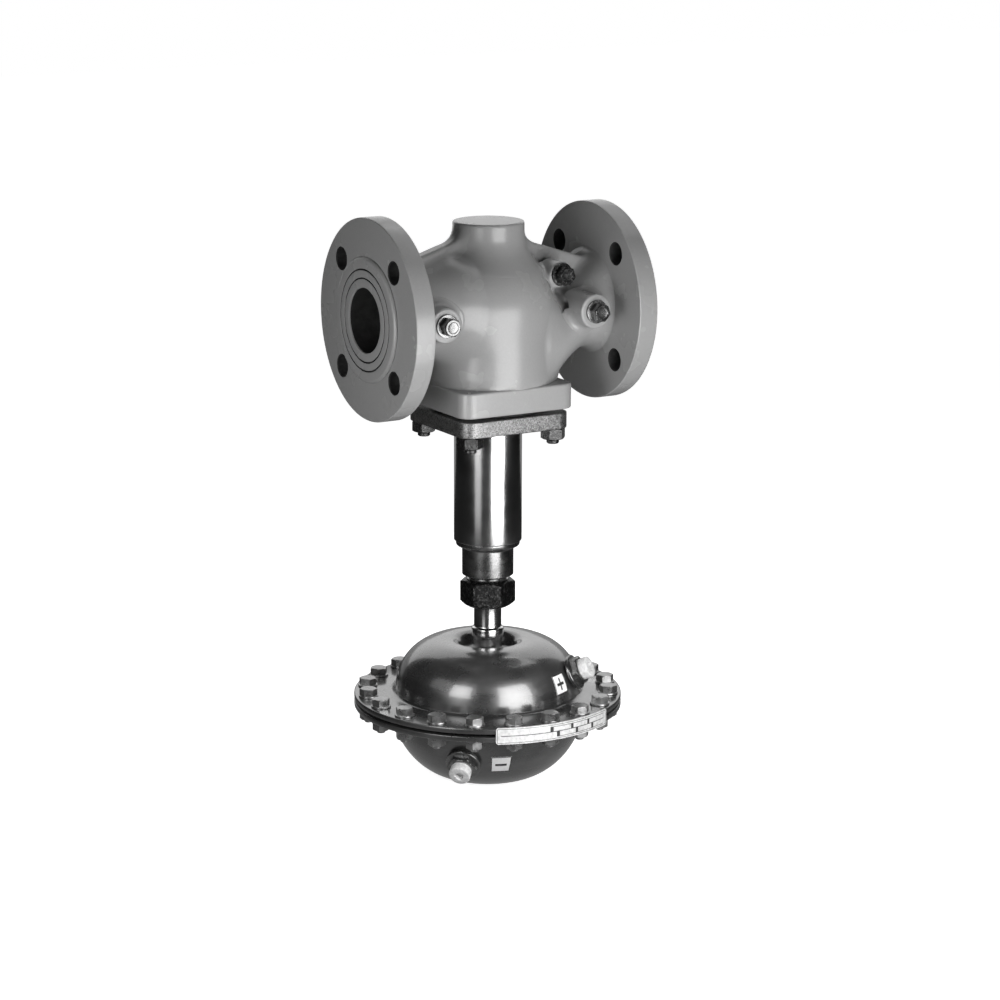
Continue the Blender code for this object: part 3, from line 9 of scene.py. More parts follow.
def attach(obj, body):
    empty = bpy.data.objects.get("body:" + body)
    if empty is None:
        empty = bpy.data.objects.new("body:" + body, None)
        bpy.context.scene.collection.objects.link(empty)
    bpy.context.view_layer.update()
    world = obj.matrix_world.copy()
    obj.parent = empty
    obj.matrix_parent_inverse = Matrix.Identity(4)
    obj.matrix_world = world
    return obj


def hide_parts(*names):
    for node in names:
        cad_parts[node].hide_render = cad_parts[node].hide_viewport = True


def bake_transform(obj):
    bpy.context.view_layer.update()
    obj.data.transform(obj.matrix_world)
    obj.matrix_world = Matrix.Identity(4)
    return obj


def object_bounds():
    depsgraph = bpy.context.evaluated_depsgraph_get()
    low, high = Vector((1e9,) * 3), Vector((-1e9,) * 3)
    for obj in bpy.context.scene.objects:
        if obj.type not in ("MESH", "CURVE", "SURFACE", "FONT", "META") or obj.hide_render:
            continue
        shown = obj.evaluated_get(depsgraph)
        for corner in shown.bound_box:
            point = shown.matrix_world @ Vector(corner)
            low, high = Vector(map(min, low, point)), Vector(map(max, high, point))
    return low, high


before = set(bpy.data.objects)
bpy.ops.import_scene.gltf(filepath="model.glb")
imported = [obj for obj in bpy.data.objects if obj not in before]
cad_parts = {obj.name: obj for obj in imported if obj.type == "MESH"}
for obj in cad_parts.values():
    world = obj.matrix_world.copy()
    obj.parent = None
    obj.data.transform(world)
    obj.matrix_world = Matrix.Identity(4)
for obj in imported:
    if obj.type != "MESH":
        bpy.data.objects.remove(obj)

cad_bounds = [list(corner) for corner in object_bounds()]


# Cast valve body
# One iron casting: a globe, longer to the left, over a round bell, a passage and a rib to each side, a boss
# above and three small bosses for screw plugs. Sand cast, so wide fillets join its forms. Painted grey
# outside; inside its passages bare iron, made nearly black as painted shade.

GLOBE_RADIUS = 0.055
GLOBE_STRETCH = 1.24
BELL_RADIUS = 0.0532
BELL_FLARE = 0.0022
BELL_WAIST = 0.0006
BELL_FILLET = 0.004
BOSS_RADIUS = 0.0295
BOSS_TOP = 0.073
BOSS_EDGE = 0.0016
BOSS_FILLET = 0.013
PORT_RADIUS = 0.0265
NECK_WALL = 0.0095
NECK_GROWTH = 0.010
NECK_END = 0.0955
NECK_FILLETS = (0.005, 0.023)
SKIN_END = 0.0966
PASSAGE_MOUTH = 0.1136
# Each side's passage: where it starts and ends to bend, its last half height, its last height, and how much
# wider it gets to each side
LEFT_PASSAGE = (0.098, 0.040, 0.020, 0.010, 0.0030)
RIGHT_PASSAGE = (0.096, 0.046, 0.013, -0.026, 0.0045)
# Each side's rib: its height beside the boss and at the flange
LEFT_RIB = (0.060, 0.039)
RIGHT_RIB = (0.056, 0.035)
RIB_START = 0.0295
RIB_LENGTH = 0.066
RIB_HALF_WIDTH = 0.0068
RIB_EDGE = 0.0025
RIB_FILLET = 0.009
# Each screw boss: its place along X, how far it stands out to the front, its height and its radius
TAPPINGS = {"left": (-0.070, 0.055, 0.0, 0.0142), "right": (0.070, 0.055, 0.0, 0.0142),
            "upper": (0.050, 0.033, 0.029, 0.0105)}
TAPPING_EDGE = 0.0012
TAPPING_FILLET = 0.007
BOSS_DIP = 0.0006


def operator(operation):
    """A Python operator that adds one Math node."""
    def apply(value, other):
        return value.finish.node("Math", {"operation": operation}, {0: value, 1: other})
    return apply


class Value:
    """A node's output that can be added to, multiplied by or compared with numbers and other outputs."""

    def __init__(self, finish, socket):
        self.finish = finish
        self.socket = socket

    __add__ = operator("ADD")
    __mul__ = operator("MULTIPLY")
    __gt__ = operator("GREATER_THAN")
    __lt__ = operator("LESS_THAN")
    maximum = operator("MAXIMUM")


class Finish:
    """A material whose nodes are added one by one to a Principled shader."""

    def __init__(self, name, tree=None):
        self.material = bpy.data.materials.new(name) if tree is None else None
        if self.material:
            self.material.use_nodes = True
        self.tree = tree or self.material.node_tree
        self.shader = self.tree.nodes.get("Principled BSDF")

    def fill(self, socket, value):
        if isinstance(value, Value):
            self.tree.links.new(value.socket, socket)
        else:
            socket.default_value = value

    def node(self, kind, settings, inputs, output=0):
        """Add a node of that kind: its settings first, then its inputs by name or number."""
        made = self.tree.nodes.new("ShaderNode" + kind)
        for name, value in settings.items():
            setattr(made, name, value)
        for name, value in inputs.items():
            self.fill(made.inputs[name], value)
        return Value(self, made.outputs[output])

    def here(self):
        """The place on the object, in metres."""
        return self.node("TexCoord", {}, {}, "Object")

    def noise(self, scale, detail=4.0, place=None, roughness=0.55):
        inputs = {"Vector": place or self.here(), "Scale": scale, "Detail": detail, "Roughness": roughness}
        return self.node("TexNoise", {}, inputs)

    def ramp(self, value, low, high, to_low=0.0, to_high=1.0):
        """The value from low to high, carried to another range and held at its ends."""
        inputs = {0: value, 1: low, 2: high, 3: to_low, 4: to_high}
        return self.node("MapRange", {"clamp": True}, inputs)

    def between(self, share, first, second):
        """A colour between two greys, each from 0 to 255 as it would be seen."""
        return self.blend(share, grey(first), grey(second))

    def blend(self, share, first, second):
        return self.node("Mix", {"data_type": "RGBA"}, {0: share, 6: first, 7: second}, 2)

    def bump(self, height, distance, strength=1.0):
        inputs = {"Height": height, "Distance": distance, "Strength": strength}
        return self.node("Bump", {}, inputs)

    def set(self, **inputs):
        """Fill the shader's inputs; an underscore stands for a space."""
        for name, value in inputs.items():
            self.fill(self.shader.inputs[name.replace("_", " ")], value)
        return self.material


def grey(level):
    """The colour of a grey that is seen at that level from 0 to 255."""
    share = level / 255
    linear = share / 12.92 if share <= 0.04045 else ((share + 0.055) / 1.055) ** 2.4
    return (linear, linear, linear, 1.0)


def sheet(points, around=True, closed=False, first_pole=False, last_pole=False):
    """A grid of points with its faces. Around joins the columns' ends, closed the rows' ends.

    A pole closes the first or last row on one point in its middle.
    """
    points = np.asarray(points, float)
    rows, columns = points.shape[:2]
    index = np.arange(rows * columns).reshape(rows, columns)
    if closed:
        index = np.vstack([index, index[:1]])
    if around:
        index = np.hstack([index, index[:, :1]])
    corners = [index[:-1, :-1], index[:-1, 1:], index[1:, 1:], index[1:, :-1]]
    quads = np.stack(corners, -1).reshape(-1, 4)
    flat = points.reshape(-1, 3)
    triangles = np.zeros((0, 3), int)
    for wanted, row, line in ((first_pole, 0, index[0, ::-1]), (last_pole, -1, index[-1])):
        if wanted:
            pole = np.full(len(line) - 1, len(flat))
            flat = np.vstack([flat, points[row].mean(0)])
            triangles = np.vstack([triangles, np.stack([pole, line[:-1], line[1:]], -1)])
    return flat, quads, triangles


def build(name, sheets, material, body="housing", replaced=(), sharp=38.0, lining=None):
    """One object made of sheets, welded where they meet, with its faces outwards, riding on a body.

    A lining is a second material and how many of the last sheets have it.
    """
    finishes = np.zeros(len(sheets), int)
    if lining:
        finishes[-lining[1]:] = 1
    starts = np.cumsum([0] + [len(points) for points, _, _ in sheets])
    points = np.concatenate([points for points, _, _ in sheets])
    quads = np.concatenate([quads + start for (_, quads, _), start in zip(sheets, starts)])
    triangles = np.concatenate([tris + start for (_, _, tris), start in zip(sheets, starts)])
    sizes = np.repeat([4, 3], [len(quads), len(triangles)])
    mesh = bpy.data.meshes.new(name)
    mesh.vertices.add(len(points))
    mesh.vertices.foreach_set("co", points.astype(np.float32).ravel())
    mesh.loops.add(int(sizes.sum()))
    loops = np.concatenate([quads.ravel(), triangles.ravel()]).astype(np.int32)
    mesh.loops.foreach_set("vertex_index", loops)
    mesh.polygons.add(len(sizes))
    mesh.polygons.foreach_set("loop_start", (np.cumsum(sizes) - sizes).astype(np.int32))
    quad_finish = np.repeat(finishes, [len(quads) for _, quads, _ in sheets])
    triangle_finish = np.repeat(finishes, [len(triangles) for _, _, triangles in sheets])
    face_finish = np.concatenate([quad_finish, triangle_finish]).astype(np.int32)
    mesh.polygons.foreach_set("material_index", face_finish)
    mesh.update(calc_edges=True)
    work = bmesh.new()
    work.from_mesh(mesh)
    bmesh.ops.remove_doubles(work, verts=work.verts, dist=2e-6)
    bmesh.ops.recalc_face_normals(work, faces=work.faces)
    work.to_mesh(mesh)
    work.free()
    mesh.shade_smooth()
    mesh.set_sharp_from_angle(angle=math.radians(sharp))
    mesh.materials.append(material)
    if lining:
        mesh.materials.append(lining[0])
    piece = bpy.data.objects.new(name, mesh)
    bpy.context.scene.collection.objects.link(piece)
    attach(piece, body)
    if replaced:
        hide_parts(*replaced)
    return piece


def smooth_union(first, second, reach):
    """The lesser of two distances, with a fillet where they differ by less than the reach."""
    share = np.clip(1 - np.abs(first - second) / reach, 0, None)
    return np.minimum(first, second) - share * share * reach / 4


def smooth_step(low, high, value):
    share = np.clip((value - low) / (high - low), 0, 1)
    return share * share * (3 - 2 * share)


def around_z(radius, angle, height):
    """Points at a radius and an angle about Z and at a height."""
    return np.stack(np.broadcast_arrays(radius * np.cos(angle), radius * np.sin(angle), height), -1)


def passage(x):
    """Middle height, half height and half width of the water passage at x.

    The port's circle turns to a flatter oval as the passage bends towards the globe.
    """
    start, end, last_half, last_middle, growth = (np.where(x < 0, left, right)
                                                  for left, right in zip(LEFT_PASSAGE, RIGHT_PASSAGE))
    ease = smooth_step(0, 1, (start - np.abs(x)) / (start - end))
    half = PORT_RADIUS + (last_half - PORT_RADIUS) * ease
    return last_middle * ease, half, PORT_RADIUS + growth * ease


def cast_distance(point):
    """Signed distance to the casting without its upper boss and screw bosses, about right near its skin."""
    x, y, z = point[..., 0], point[..., 1], point[..., 2]
    along = np.where(x < 0, x / GLOBE_STRETCH, x)
    globe = np.sqrt(along * along + y * y + z * z) - GLOBE_RADIUS
    bell = np.sqrt(x * x + y * y + np.maximum(z, 0) ** 2) - BELL_RADIUS
    corner = smooth_step(0.25, 0.9, np.abs(2 * x * y) / np.maximum(x * x + y * y, 1e-9))
    bell = bell - BELL_FLARE * smooth_step(-0.050, -0.058, z) * corner
    bell = bell + BELL_WAIST * smooth_step(-0.053, -0.0585, z)
    middle, half, wide = passage(x)
    flare = np.clip((NECK_END - np.abs(x)) / 0.020, 0, 1)
    wall = NECK_WALL + NECK_GROWTH * (1 - np.sqrt(np.clip(1 - (1 - flare) ** 2, 0, 1)))
    high, wide = half + wall, wide + wall
    near = np.sqrt((y / wide) ** 2 + ((z - middle) / high) ** 2)
    slope = np.sqrt((y / wide ** 2) ** 2 + ((z - middle) / high ** 2) ** 2)
    neck = near * (near - 1) / np.maximum(slope, 1e-9) + 0.030 * smooth_step(0.034, 0.004, np.abs(x))
    first, last = (np.where(x < 0, left, right) for left, right in zip(LEFT_RIB, RIGHT_RIB))
    ridge = first + (last - first) * np.clip((np.abs(x) - RIB_START) / RIB_LENGTH, 0, 1.1)
    side, top = np.abs(y) - RIB_HALF_WIDTH + RIB_EDGE, (z - ridge) * 0.95 + RIB_EDGE
    rib = np.maximum(side, top)
    outside = np.hypot(np.maximum(side, 0), np.maximum(top, 0))
    rib = np.maximum(np.where(rib > 0, outside, rib) - RIB_EDGE, 0.010 - z)
    shape = smooth_union(globe, bell, BELL_FILLET)
    narrow, broad = NECK_FILLETS
    shape = smooth_union(shape, neck, narrow + broad * smooth_step(0.010, 0.050, np.abs(x)))
    return smooth_union(shape, rib, RIB_FILLET)


def cylinder_distance(along, across, radius, end, edge):
    """Signed distance to a round bar that ends at a height, with that edge rounded."""
    side, cap = across - radius + edge, along - end + edge
    inner = np.minimum(np.maximum(side, cap), 0)
    return inner + np.hypot(np.maximum(side, 0), np.maximum(cap, 0)) - edge


def last_crossing(distance, start, end, steps=72, rounds=18):
    """Where each line from start to end leaves a shape for the last time, found by steps and halving."""
    shares = np.linspace(0, 1, steps)
    inside = np.stack([distance(start + (end - start) * share) < 0 for share in shares])
    last = steps - 1 - np.argmax(inside[::-1], 0)
    low = shares[np.clip(last, 0, steps - 2)][..., None]
    high = low + 1 / (steps - 1)
    for _ in range(rounds):
        middle = (low + high) / 2
        within = (distance(start + (end - start) * middle) < 0)[..., None]
        low, high = np.where(within, middle, low), np.where(within, high, middle)
    return start + (end - start) * (low + high) / 2


def boss_sink(point):
    """How far the casting's main skin lies under the sheets of its bosses, which cover it there."""
    x, y, z = point[..., 0], point[..., 1], point[..., 2]
    sink = np.where(z > 0, 1 - smooth_step(0.0425, 0.0455, np.hypot(x, y)), 0)
    for place, _, height, radius in TAPPINGS.values():
        across = np.hypot(x - place, z - height)
        reach = radius + 0.0075
        sink = np.maximum(sink, np.where(y < 0, 1 - smooth_step(reach - 0.003, reach, across), 0))
    return sink * 0.0005


def main_skin():
    """The casting's skin, as one sheet of rows along X and columns about it, and its two water passages.

    Every point is where a line from the passage's middle leaves the shape. The lines fan out from the
    globe's centre, lean over the bell's sides and stand upright along the necks.
    """
    share, knots = np.linspace(0, 1, 132), [0, 0.36, 0.66, 1]
    near = np.interp(share, knots, [0, 0.008, 0.053, NECK_END])
    far = np.interp(share, knots, [0, 0.056, 0.066, NECK_END])
    near, far = (np.concatenate([-half[:0:-1], half])[:, None] for half in (near, far))
    # The columns stand closer over the ribs, within 14 degrees of the top
    over_rib, rest = np.linspace(-14, 14, 72, endpoint=False), np.linspace(14, 346, 216, endpoint=False)
    turn = np.radians(np.concatenate([over_rib, rest]))[None, :]
    height = passage(near)[0] * 0.75 * smooth_step(0.0, 0.030, np.abs(near))
    start = np.stack(np.broadcast_arrays(near, 0 * turn, height), -1)
    direction = (far - near) / 0.060
    end = start + 0.105 * np.stack(np.broadcast_arrays(direction, np.sin(turn), np.cos(turn)), -1)

    def clipped(point):
        return np.maximum(cast_distance(point) + boss_sink(point), -0.060 - point[..., 2])

    skin = last_crossing(clipped, start, end)
    wet = np.concatenate([np.linspace(0.034, 0.040, 3), np.linspace(0.044, PASSAGE_MOUTH, 24)])
    shrink = np.concatenate([[0.35, 0.75, 0.95], np.full(24, 0.997)])[:, None]
    skins, pockets = [skin], []
    for side in (-1, 1):
        x = side * wet[:, None]
        middle, half, wide = passage(x)
        ring = np.broadcast_arrays(x, wide * shrink * np.sin(turn), middle + half * shrink * np.cos(turn))
        pockets.append(np.stack(ring, -1))
        mouth, last = pockets[-1][-1:], skin[-1:] if side > 0 else skin[:1]
        lip, wall_end = mouth * [1, 1.01, 1.01], [side * SKIN_END, 0, 0]
        steps = [mouth, lip, lip * [0, 1, 1] + wall_end, last * [0, 1, 1] + wall_end]
        skins = skins + steps[::-1] if side > 0 else steps + skins
    return [sheet(np.concatenate(skins))] + [sheet(pocket, first_pole=True) for pocket in pockets]


def upper_boss():
    """The boss on top with its wide fillet, as rings about Z from its middle out onto the globe."""
    turn = np.radians(np.arange(0, 360, 2.5))[None, :]
    share, knots = np.linspace(0, 1, 74)[:, None], [0, 0.34, 0.60, 0.80, 1]
    near_r, near_z, far_r, far_z = (np.interp(share, knots, places) for places in (
        [0, 0, 0, 0.020, 0.040], [0.040, 0.040, 0.040, 0.025, 0.010],
        [0.0005, 0.0415, 0.070, 0.0583, 0.0585], [0.090, 0.090, 0.076, 0.0633, 0.080]))

    def shape(point):
        across = np.hypot(point[..., 0], point[..., 1])
        boss = cylinder_distance(point[..., 2], across, BOSS_RADIUS, BOSS_TOP, BOSS_EDGE)
        return smooth_union(cast_distance(point), boss, BOSS_FILLET)

    rows = last_crossing(shape, around_z(near_r, turn, near_z), around_z(far_r, turn, far_z), steps=90)
    rows[-1, :, 2] -= BOSS_DIP
    return sheet(rows, first_pole=True)


def screw_boss(place, face, height, radius):
    """One boss for a screw plug with its fillet, as rings about its axis, which points to the front.

    The rays of a ring lean more and more from the axis. How much is found by halving, so that the rings
    lie at even distances over the face, down the side and out to where the fillet ends.
    """
    turn = np.radians(np.arange(0, 360, 5))
    depth, reach = 0.036 * face / 0.055, radius + 0.0072

    def shape(point):
        across = np.hypot(point[..., 0] - place, point[..., 2] - height)
        boss = cylinder_distance(-point[..., 1], across, radius, face, TAPPING_EDGE)
        return smooth_union(cast_distance(point), boss, TAPPING_FILLET)

    def leave(lean):
        rays = np.stack(np.broadcast_arrays(lean * np.cos(turn), -1.0, lean * np.sin(turn)), -1)
        start = np.broadcast_to(np.array([place, depth - face, height]), rays.shape)
        end = start + rays * 0.045 / np.sqrt(1 + lean * lean)[..., None]
        point = last_crossing(shape, start, end, 44, 14)
        return point, np.hypot(point[..., 0] - place, point[..., 2] - height)

    def lean_for(measure, wanted):
        low, high = np.full(wanted.shape, 0.003), np.full(wanted.shape, 4.0)
        for _ in range(15):
            middle = (low + high) / 2
            point, across = leave(middle)
            short = measure(point, across) < wanted
            low, high = np.where(short, middle, low), np.where(short, high, middle)
        return high

    end, _ = leave(lean_for(lambda point, across: across, np.full((1, len(turn)), reach)))
    whole = reach + end[..., 1] + face
    on_face, beyond = np.linspace(0.001, radius, 12, endpoint=False), np.linspace(0, 1, 32)
    share = np.concatenate([0 * on_face, beyond])[:, None]
    wanted = np.concatenate([on_face, np.full(len(beyond), radius)])[:, None] + (whole - radius) * share
    rows, _ = leave(lean_for(lambda point, across: across + point[..., 1] + face, wanted))
    rows[-1, :, 1] += BOSS_DIP
    return sheet(rows, first_pole=True)


def body_paint():
    """Grey sprayed enamel over a sand casting: soft grain, slow waves, and a few rubbed spots."""
    paint = Finish("body_paint")
    slow, grain = paint.noise(24.0, 3.0), paint.noise(520.0, 5.0)
    pits = paint.node("TexVoronoi", {"feature": "F1"}, {"Vector": paint.here(), "Scale": 310.0})
    tone = paint.ramp(slow * 0.4 + grain * 0.6, 0.2, 0.8)
    height = grain * 0.5 + slow * 1.2 + paint.ramp(pits, 0.0, 0.25) * 0.12
    return paint.set(
        Base_Color=paint.between(tone, 150, 157),
        Roughness=paint.ramp(slow, 0.1, 0.9, 0.20, 0.32),
        Normal=paint.bump(height, 0.00035, 0.55),
    )


def mottled(name, scale, detail, greys, roughness, relief, span=None, **inputs):
    """A finish of one noise, which carries the colour from one grey to another and raises the surface."""
    finish = Finish(name)
    patches = finish.noise(scale, detail)
    share = finish.ramp(patches, *span) if span else patches
    return finish.set(Base_Color=finish.between(share, *greys), Roughness=roughness,
                      Normal=finish.bump(patches, *relief), **inputs)


painted = body_paint()
# Unpainted iron, rough and rusty in patches; nearly black, as it also paints the shade in bores and holes
bare_iron_and_shade = mottled("bare_iron_and_painted_shade", 130.0, 5.0, (22, 44), 0.75, (0.0006, 0.6), (0.35, 0.7))
skin, *passages = main_skin()
casting = [skin, upper_boss()] + [screw_boss(*tapping) for tapping in TAPPINGS.values()] + passages
# The two passages take the near-black iron lining, which paints the shade inside them
build("cast_body", casting, painted, replaced=["valve_body"], sharp=60.0, lining=(bare_iron_and_shade, 2))


# Pipe flanges
# Cast in one with the necks and turned on their faces and rims: a raised face with two fine grooves, four
# holes and softly rounded edges. Painted with the body, but bare iron in the grooves, the bore and the
# holes, made nearly black as painted shade.

FACE = cad_bounds[1][0]
FACE_RISE = 0.003
FLANGE_RADIUS = 0.08248
FLANGE_BACK = 0.095
RAISED_RADIUS = 0.0495
GROOVES = (0.0412, 0.0340)
GROOVE_HALF = 0.0006
GROOVE_LIP = 0.0004
GROOVE_DEPTH = 0.0018
HOLE_RADIUS = 0.009
HOLE_EDGE = 0.0007
HOLE_CIRCLE = 0.0625
HOLE_COUNT = 4
FLAT_INNER = 0.046
BACK_INNER = 0.036
RIM_ROUNDING = 0.0014
PORT_LIP = 0.0014


def rounded(corners, steps=5):
    """A profile through corners of radius, height and rounding; a curve of two tangents rounds each."""
    corners = np.asarray(corners, float)
    profile = []
    for i, (radius, height, rounding) in enumerate(corners):
        here = corners[i, :2]
        if rounding == 0 or i in (0, len(corners) - 1):
            profile.append(here)
            continue
        before, after = corners[i - 1, :2] - here, corners[i + 1, :2] - here
        first = here + before * min(rounding / np.linalg.norm(before), 0.49)
        last = here + after * min(rounding / np.linalg.norm(after), 0.49)
        for t in np.linspace(0, 1, steps):
            profile.append(first * (1 - t) ** 2 + here * 2 * t * (1 - t) + last * t * t)
    return np.array(profile)


def turned(profile, sides=96, closed=False):
    """A profile of radius and height turned about Z; an end on the axis closes on a pole."""
    profile = np.asarray(profile, float)[:, :2]
    first_pole, last_pole = profile[0, 0] == 0, profile[-1, 0] == 0
    profile = profile[int(first_pole):len(profile) - int(last_pole)]
    angle = np.arange(sides) * 2 * np.pi / sides
    radius, height = profile[:, :1], profile[:, 1:]
    return sheet(around_z(radius, angle, height), closed=closed, first_pole=first_pole, last_pole=last_pole)


def placed(sheets, matrix):
    """Sheets moved by a matrix."""
    matrix = np.array(matrix)
    return [(points @ matrix[:3, :3].T + matrix[:3, 3], *faces) for points, *faces in sheets]


def spin(degrees, axis="Z"):
    return Matrix.Rotation(math.radians(degrees), 4, axis)


def holed_sector(inner, outer, height, arc_steps=48, side_steps=12):
    """A quarter ring in a plane with a round hole in it, as lines from the hole's circle to its border."""
    quarter = np.radians(np.linspace(-180 / HOLE_COUNT, 180 / HOLE_COUNT, arc_steps + 1))
    radii = np.linspace(inner, outer, side_steps + 1)
    sides = ((outer, quarter), (radii[::-1], quarter[-1]), (inner, quarter[::-1]), (radii, quarter[0]))
    border = np.concatenate([around_z(radius, angle, 0.0)[:-1, :2] for radius, angle in sides])
    way = border - [HOLE_CIRCLE, 0]
    circle = [HOLE_CIRCLE, 0] + way / np.linalg.norm(way, axis=1)[:, None] * (HOLE_RADIUS + HOLE_EDGE)
    share = np.array([0, 0.12, 0.3, 0.55, 0.8, 1.0])[:, None, None]
    flat = circle * (1 - share) + border * share
    points = np.concatenate([flat, np.full(flat.shape[:2] + (1,), height)], -1)
    return sheet(points), circle


def flange_sheets():
    """A flange about Z with its face up: the painted sheets first, then the bare ones, dark as painted
    shade.
    """
    front, back, lip = FACE - FACE_RISE, FLANGE_BACK, FACE - GROOVE_LIP
    edge = FLANGE_RADIUS - RIM_ROUNDING
    rim = rounded([(edge, front, 0), (FLANGE_RADIUS, front, RIM_ROUNDING),
                   (FLANGE_RADIUS, back, RIM_ROUNDING), (edge, back, 0)], 7)
    outer, inner = GROOVES

    def into_groove(middle, side):
        brink = middle + side * GROOVE_HALF
        return [(brink + side * 0.0002, FACE, 0.0002), (brink, lip, 0)]

    faces = [
        [(FLAT_INNER, front, 0), (RAISED_RADIUS + 0.0022, front, 0.0022), (RAISED_RADIUS, FACE, 0.0014),
         *into_groove(outer, 1)],
        into_groove(outer, -1)[::-1] + into_groove(inner, 1),
        into_groove(inner, -1)[::-1] + [(PORT_RADIUS, FACE, 0.0012), (PORT_RADIUS, FACE - PORT_LIP, 0)],
    ]
    floor = FACE - GROOVE_DEPTH
    # Grooves, bore and holes are lined with near-black iron, which paints the shade inside them
    bare = [[(groove + GROOVE_HALF, lip), (groove + GROOVE_HALF - 0.0001, floor),
             (groove - GROOVE_HALF + 0.0001, floor), (groove - GROOVE_HALF, lip)] for groove in GROOVES]
    bare.append([(PORT_RADIUS, FACE - PORT_LIP), (PORT_RADIUS, back - 0.001), (BACK_INNER, back - 0.001),
                 (BACK_INNER, back)])
    sheets = [turned(rim, 192)] + [turned(rounded(profile, 4), 192) for profile in faces]
    bare = [turned(profile, 192) for profile in bare]
    for quarter in range(HOLE_COUNT):
        upper, circle = holed_sector(FLAT_INNER, edge, front)
        lower, _ = holed_sector(BACK_INNER, edge, back)
        way = (circle - [HOLE_CIRCLE, 0]) / (HOLE_RADIUS + HOLE_EDGE)
        wall = [np.column_stack([[HOLE_CIRCLE, 0] + way * radius, np.full(len(way), height)])
                for height, radius in ((front, HOLE_RADIUS + HOLE_EDGE), (front - HOLE_EDGE, HOLE_RADIUS),
                                       (back + HOLE_EDGE, HOLE_RADIUS), (back, HOLE_RADIUS + HOLE_EDGE))]
        turn = spin(360 / HOLE_COUNT * (quarter + 0.5))
        sheets += placed([upper, lower], turn)
        bare += placed([sheet(wall)], turn)
    return sheets, bare


for flange_name, flange_turn in (("flange_left", -90), ("flange_right", 90)):
    outside, inside = flange_sheets()
    build(flange_name, placed(outside + inside, spin(flange_turn, "Y")), painted, sharp=32.0,
          lining=(bare_iron_and_shade, len(inside)))


# Square body flange
# The casting's foot: a square plate with round corners, its sides as cast and its edges broken, painted.
# Four studs of the bonnet are screwed into it from below.

SQUARE_TOP = -0.058
SQUARE_BOTTOM = -0.0790
SQUARE_HALF = 0.053
SQUARE_CORNER = 0.012


def slab(half, top, bottom, top_edge, bottom_edge, edge_steps, corner_steps=12, side_steps=6):
    """A square plate with round corners and with rounded edges above and below."""
    profile = rounded([(half - 0.002, top, 0), (0, top, top_edge), (0, bottom, bottom_edge),
                       (half - 0.002, bottom, 0)], edge_steps)
    turn = np.radians(np.linspace(0, 90, corner_steps + 1))
    rows = []
    for inset, height in profile:
        radius = max(SQUARE_CORNER - inset, 0.0002)
        flat = half - inset - radius
        run = np.linspace(flat, -flat, side_steps + 2)[1:-1]
        one = np.concatenate([np.stack([flat + radius * np.cos(turn), flat + radius * np.sin(turn)], -1),
                              np.stack([run, np.full(side_steps, half - inset)], -1)])
        quarters = [one @ np.array([[c, s], [-s, c]]) for c, s in ((1, 0), (0, 1), (-1, 0), (0, -1))]
        ring = np.concatenate(quarters)
        rows.append(np.column_stack([ring, np.full(len(ring), height)]))
    return sheet(rows, first_pole=True, last_pole=True)


build("body_square_flange", [slab(SQUARE_HALF, SQUARE_TOP, SQUARE_BOTTOM, 0.0022, 0.0016, 7)], painted)


# Bonnet flange
# A square steel plate under the body, hot-dip galvanised: bright, with a coarse crystal pattern, and with
# round corners.

BONNET_TOP = -0.0825
BONNET_BOTTOM = -0.0959
BONNET_HALF = 0.0505
BONNET_EDGE = 0.0011


def galvanised():
    """Zinc with small crystals, each a little lighter or darker, and a fine wrinkled skin."""
    zinc = Finish("galvanised")
    crystals = zinc.node("TexVoronoi", {"feature": "F1"}, {"Vector": zinc.here(), "Scale": 1150.0}, "Color")
    level = zinc.node("RGBToBW", {}, {0: crystals})
    fine = zinc.noise(1500.0, 4.0)
    tone = zinc.ramp(level * 0.65 + fine * 0.35, 0.25, 0.75)
    return zinc.set(
        Base_Color=zinc.between(tone, 84, 156),
        Metallic=0.85,
        Roughness=zinc.ramp(level, 0.0, 1.0, 0.30, 0.52),
        Normal=zinc.bump(level * 0.5 + fine, 0.00012, 0.6),
    )


build("bonnet_plate", [slab(BONNET_HALF, BONNET_TOP, BONNET_BOTTOM, BONNET_EDGE, BONNET_EDGE, 6)],
      galvanised(), replaced=["bonnet_flange"])


# Studs and nuts of the bonnet
# Four M12 studs screwed into the body from below, each with a hexagon nut and a threaded end that shows.
# Rolled and forged steel with its dark scale, rubbed bright in places.

STUD_PLACE = 0.039
STUD_RADIUS = 0.006
STUD_PITCH = 0.00175
STUD_NUT_FLATS = 0.018
STUD_NUT_HEIGHT = 0.0095
STUD_NUT_TOP = BONNET_BOTTOM - 0.0001
STUD_END = -0.1094
# Each stud's side along X and Y, and how far its nut is turned
STUDS = ((1, 1, 8), (-1, 1, 21), (-1, -1, 4), (1, -1, 14))


def hexagonal(flats, rows, sides=72):
    """A hexagonal bar along Z through rows of height and of the radius that trims its corners there."""
    rows = np.asarray(rows, float)
    first_pole, last_pole = rows[0, 1] == 0, rows[-1, 1] == 0
    rows = rows[int(first_pole):len(rows) - int(last_pole)]
    angle = np.arange(sides) * 2 * np.pi / sides
    across = flats / 2 / np.cos((angle + np.pi / 6) % (np.pi / 3) - np.pi / 6)
    points = around_z(np.minimum(across, rows[:, 1:]), angle, rows[:, :1])
    return sheet(points, first_pole=first_pole, last_pole=last_pole)


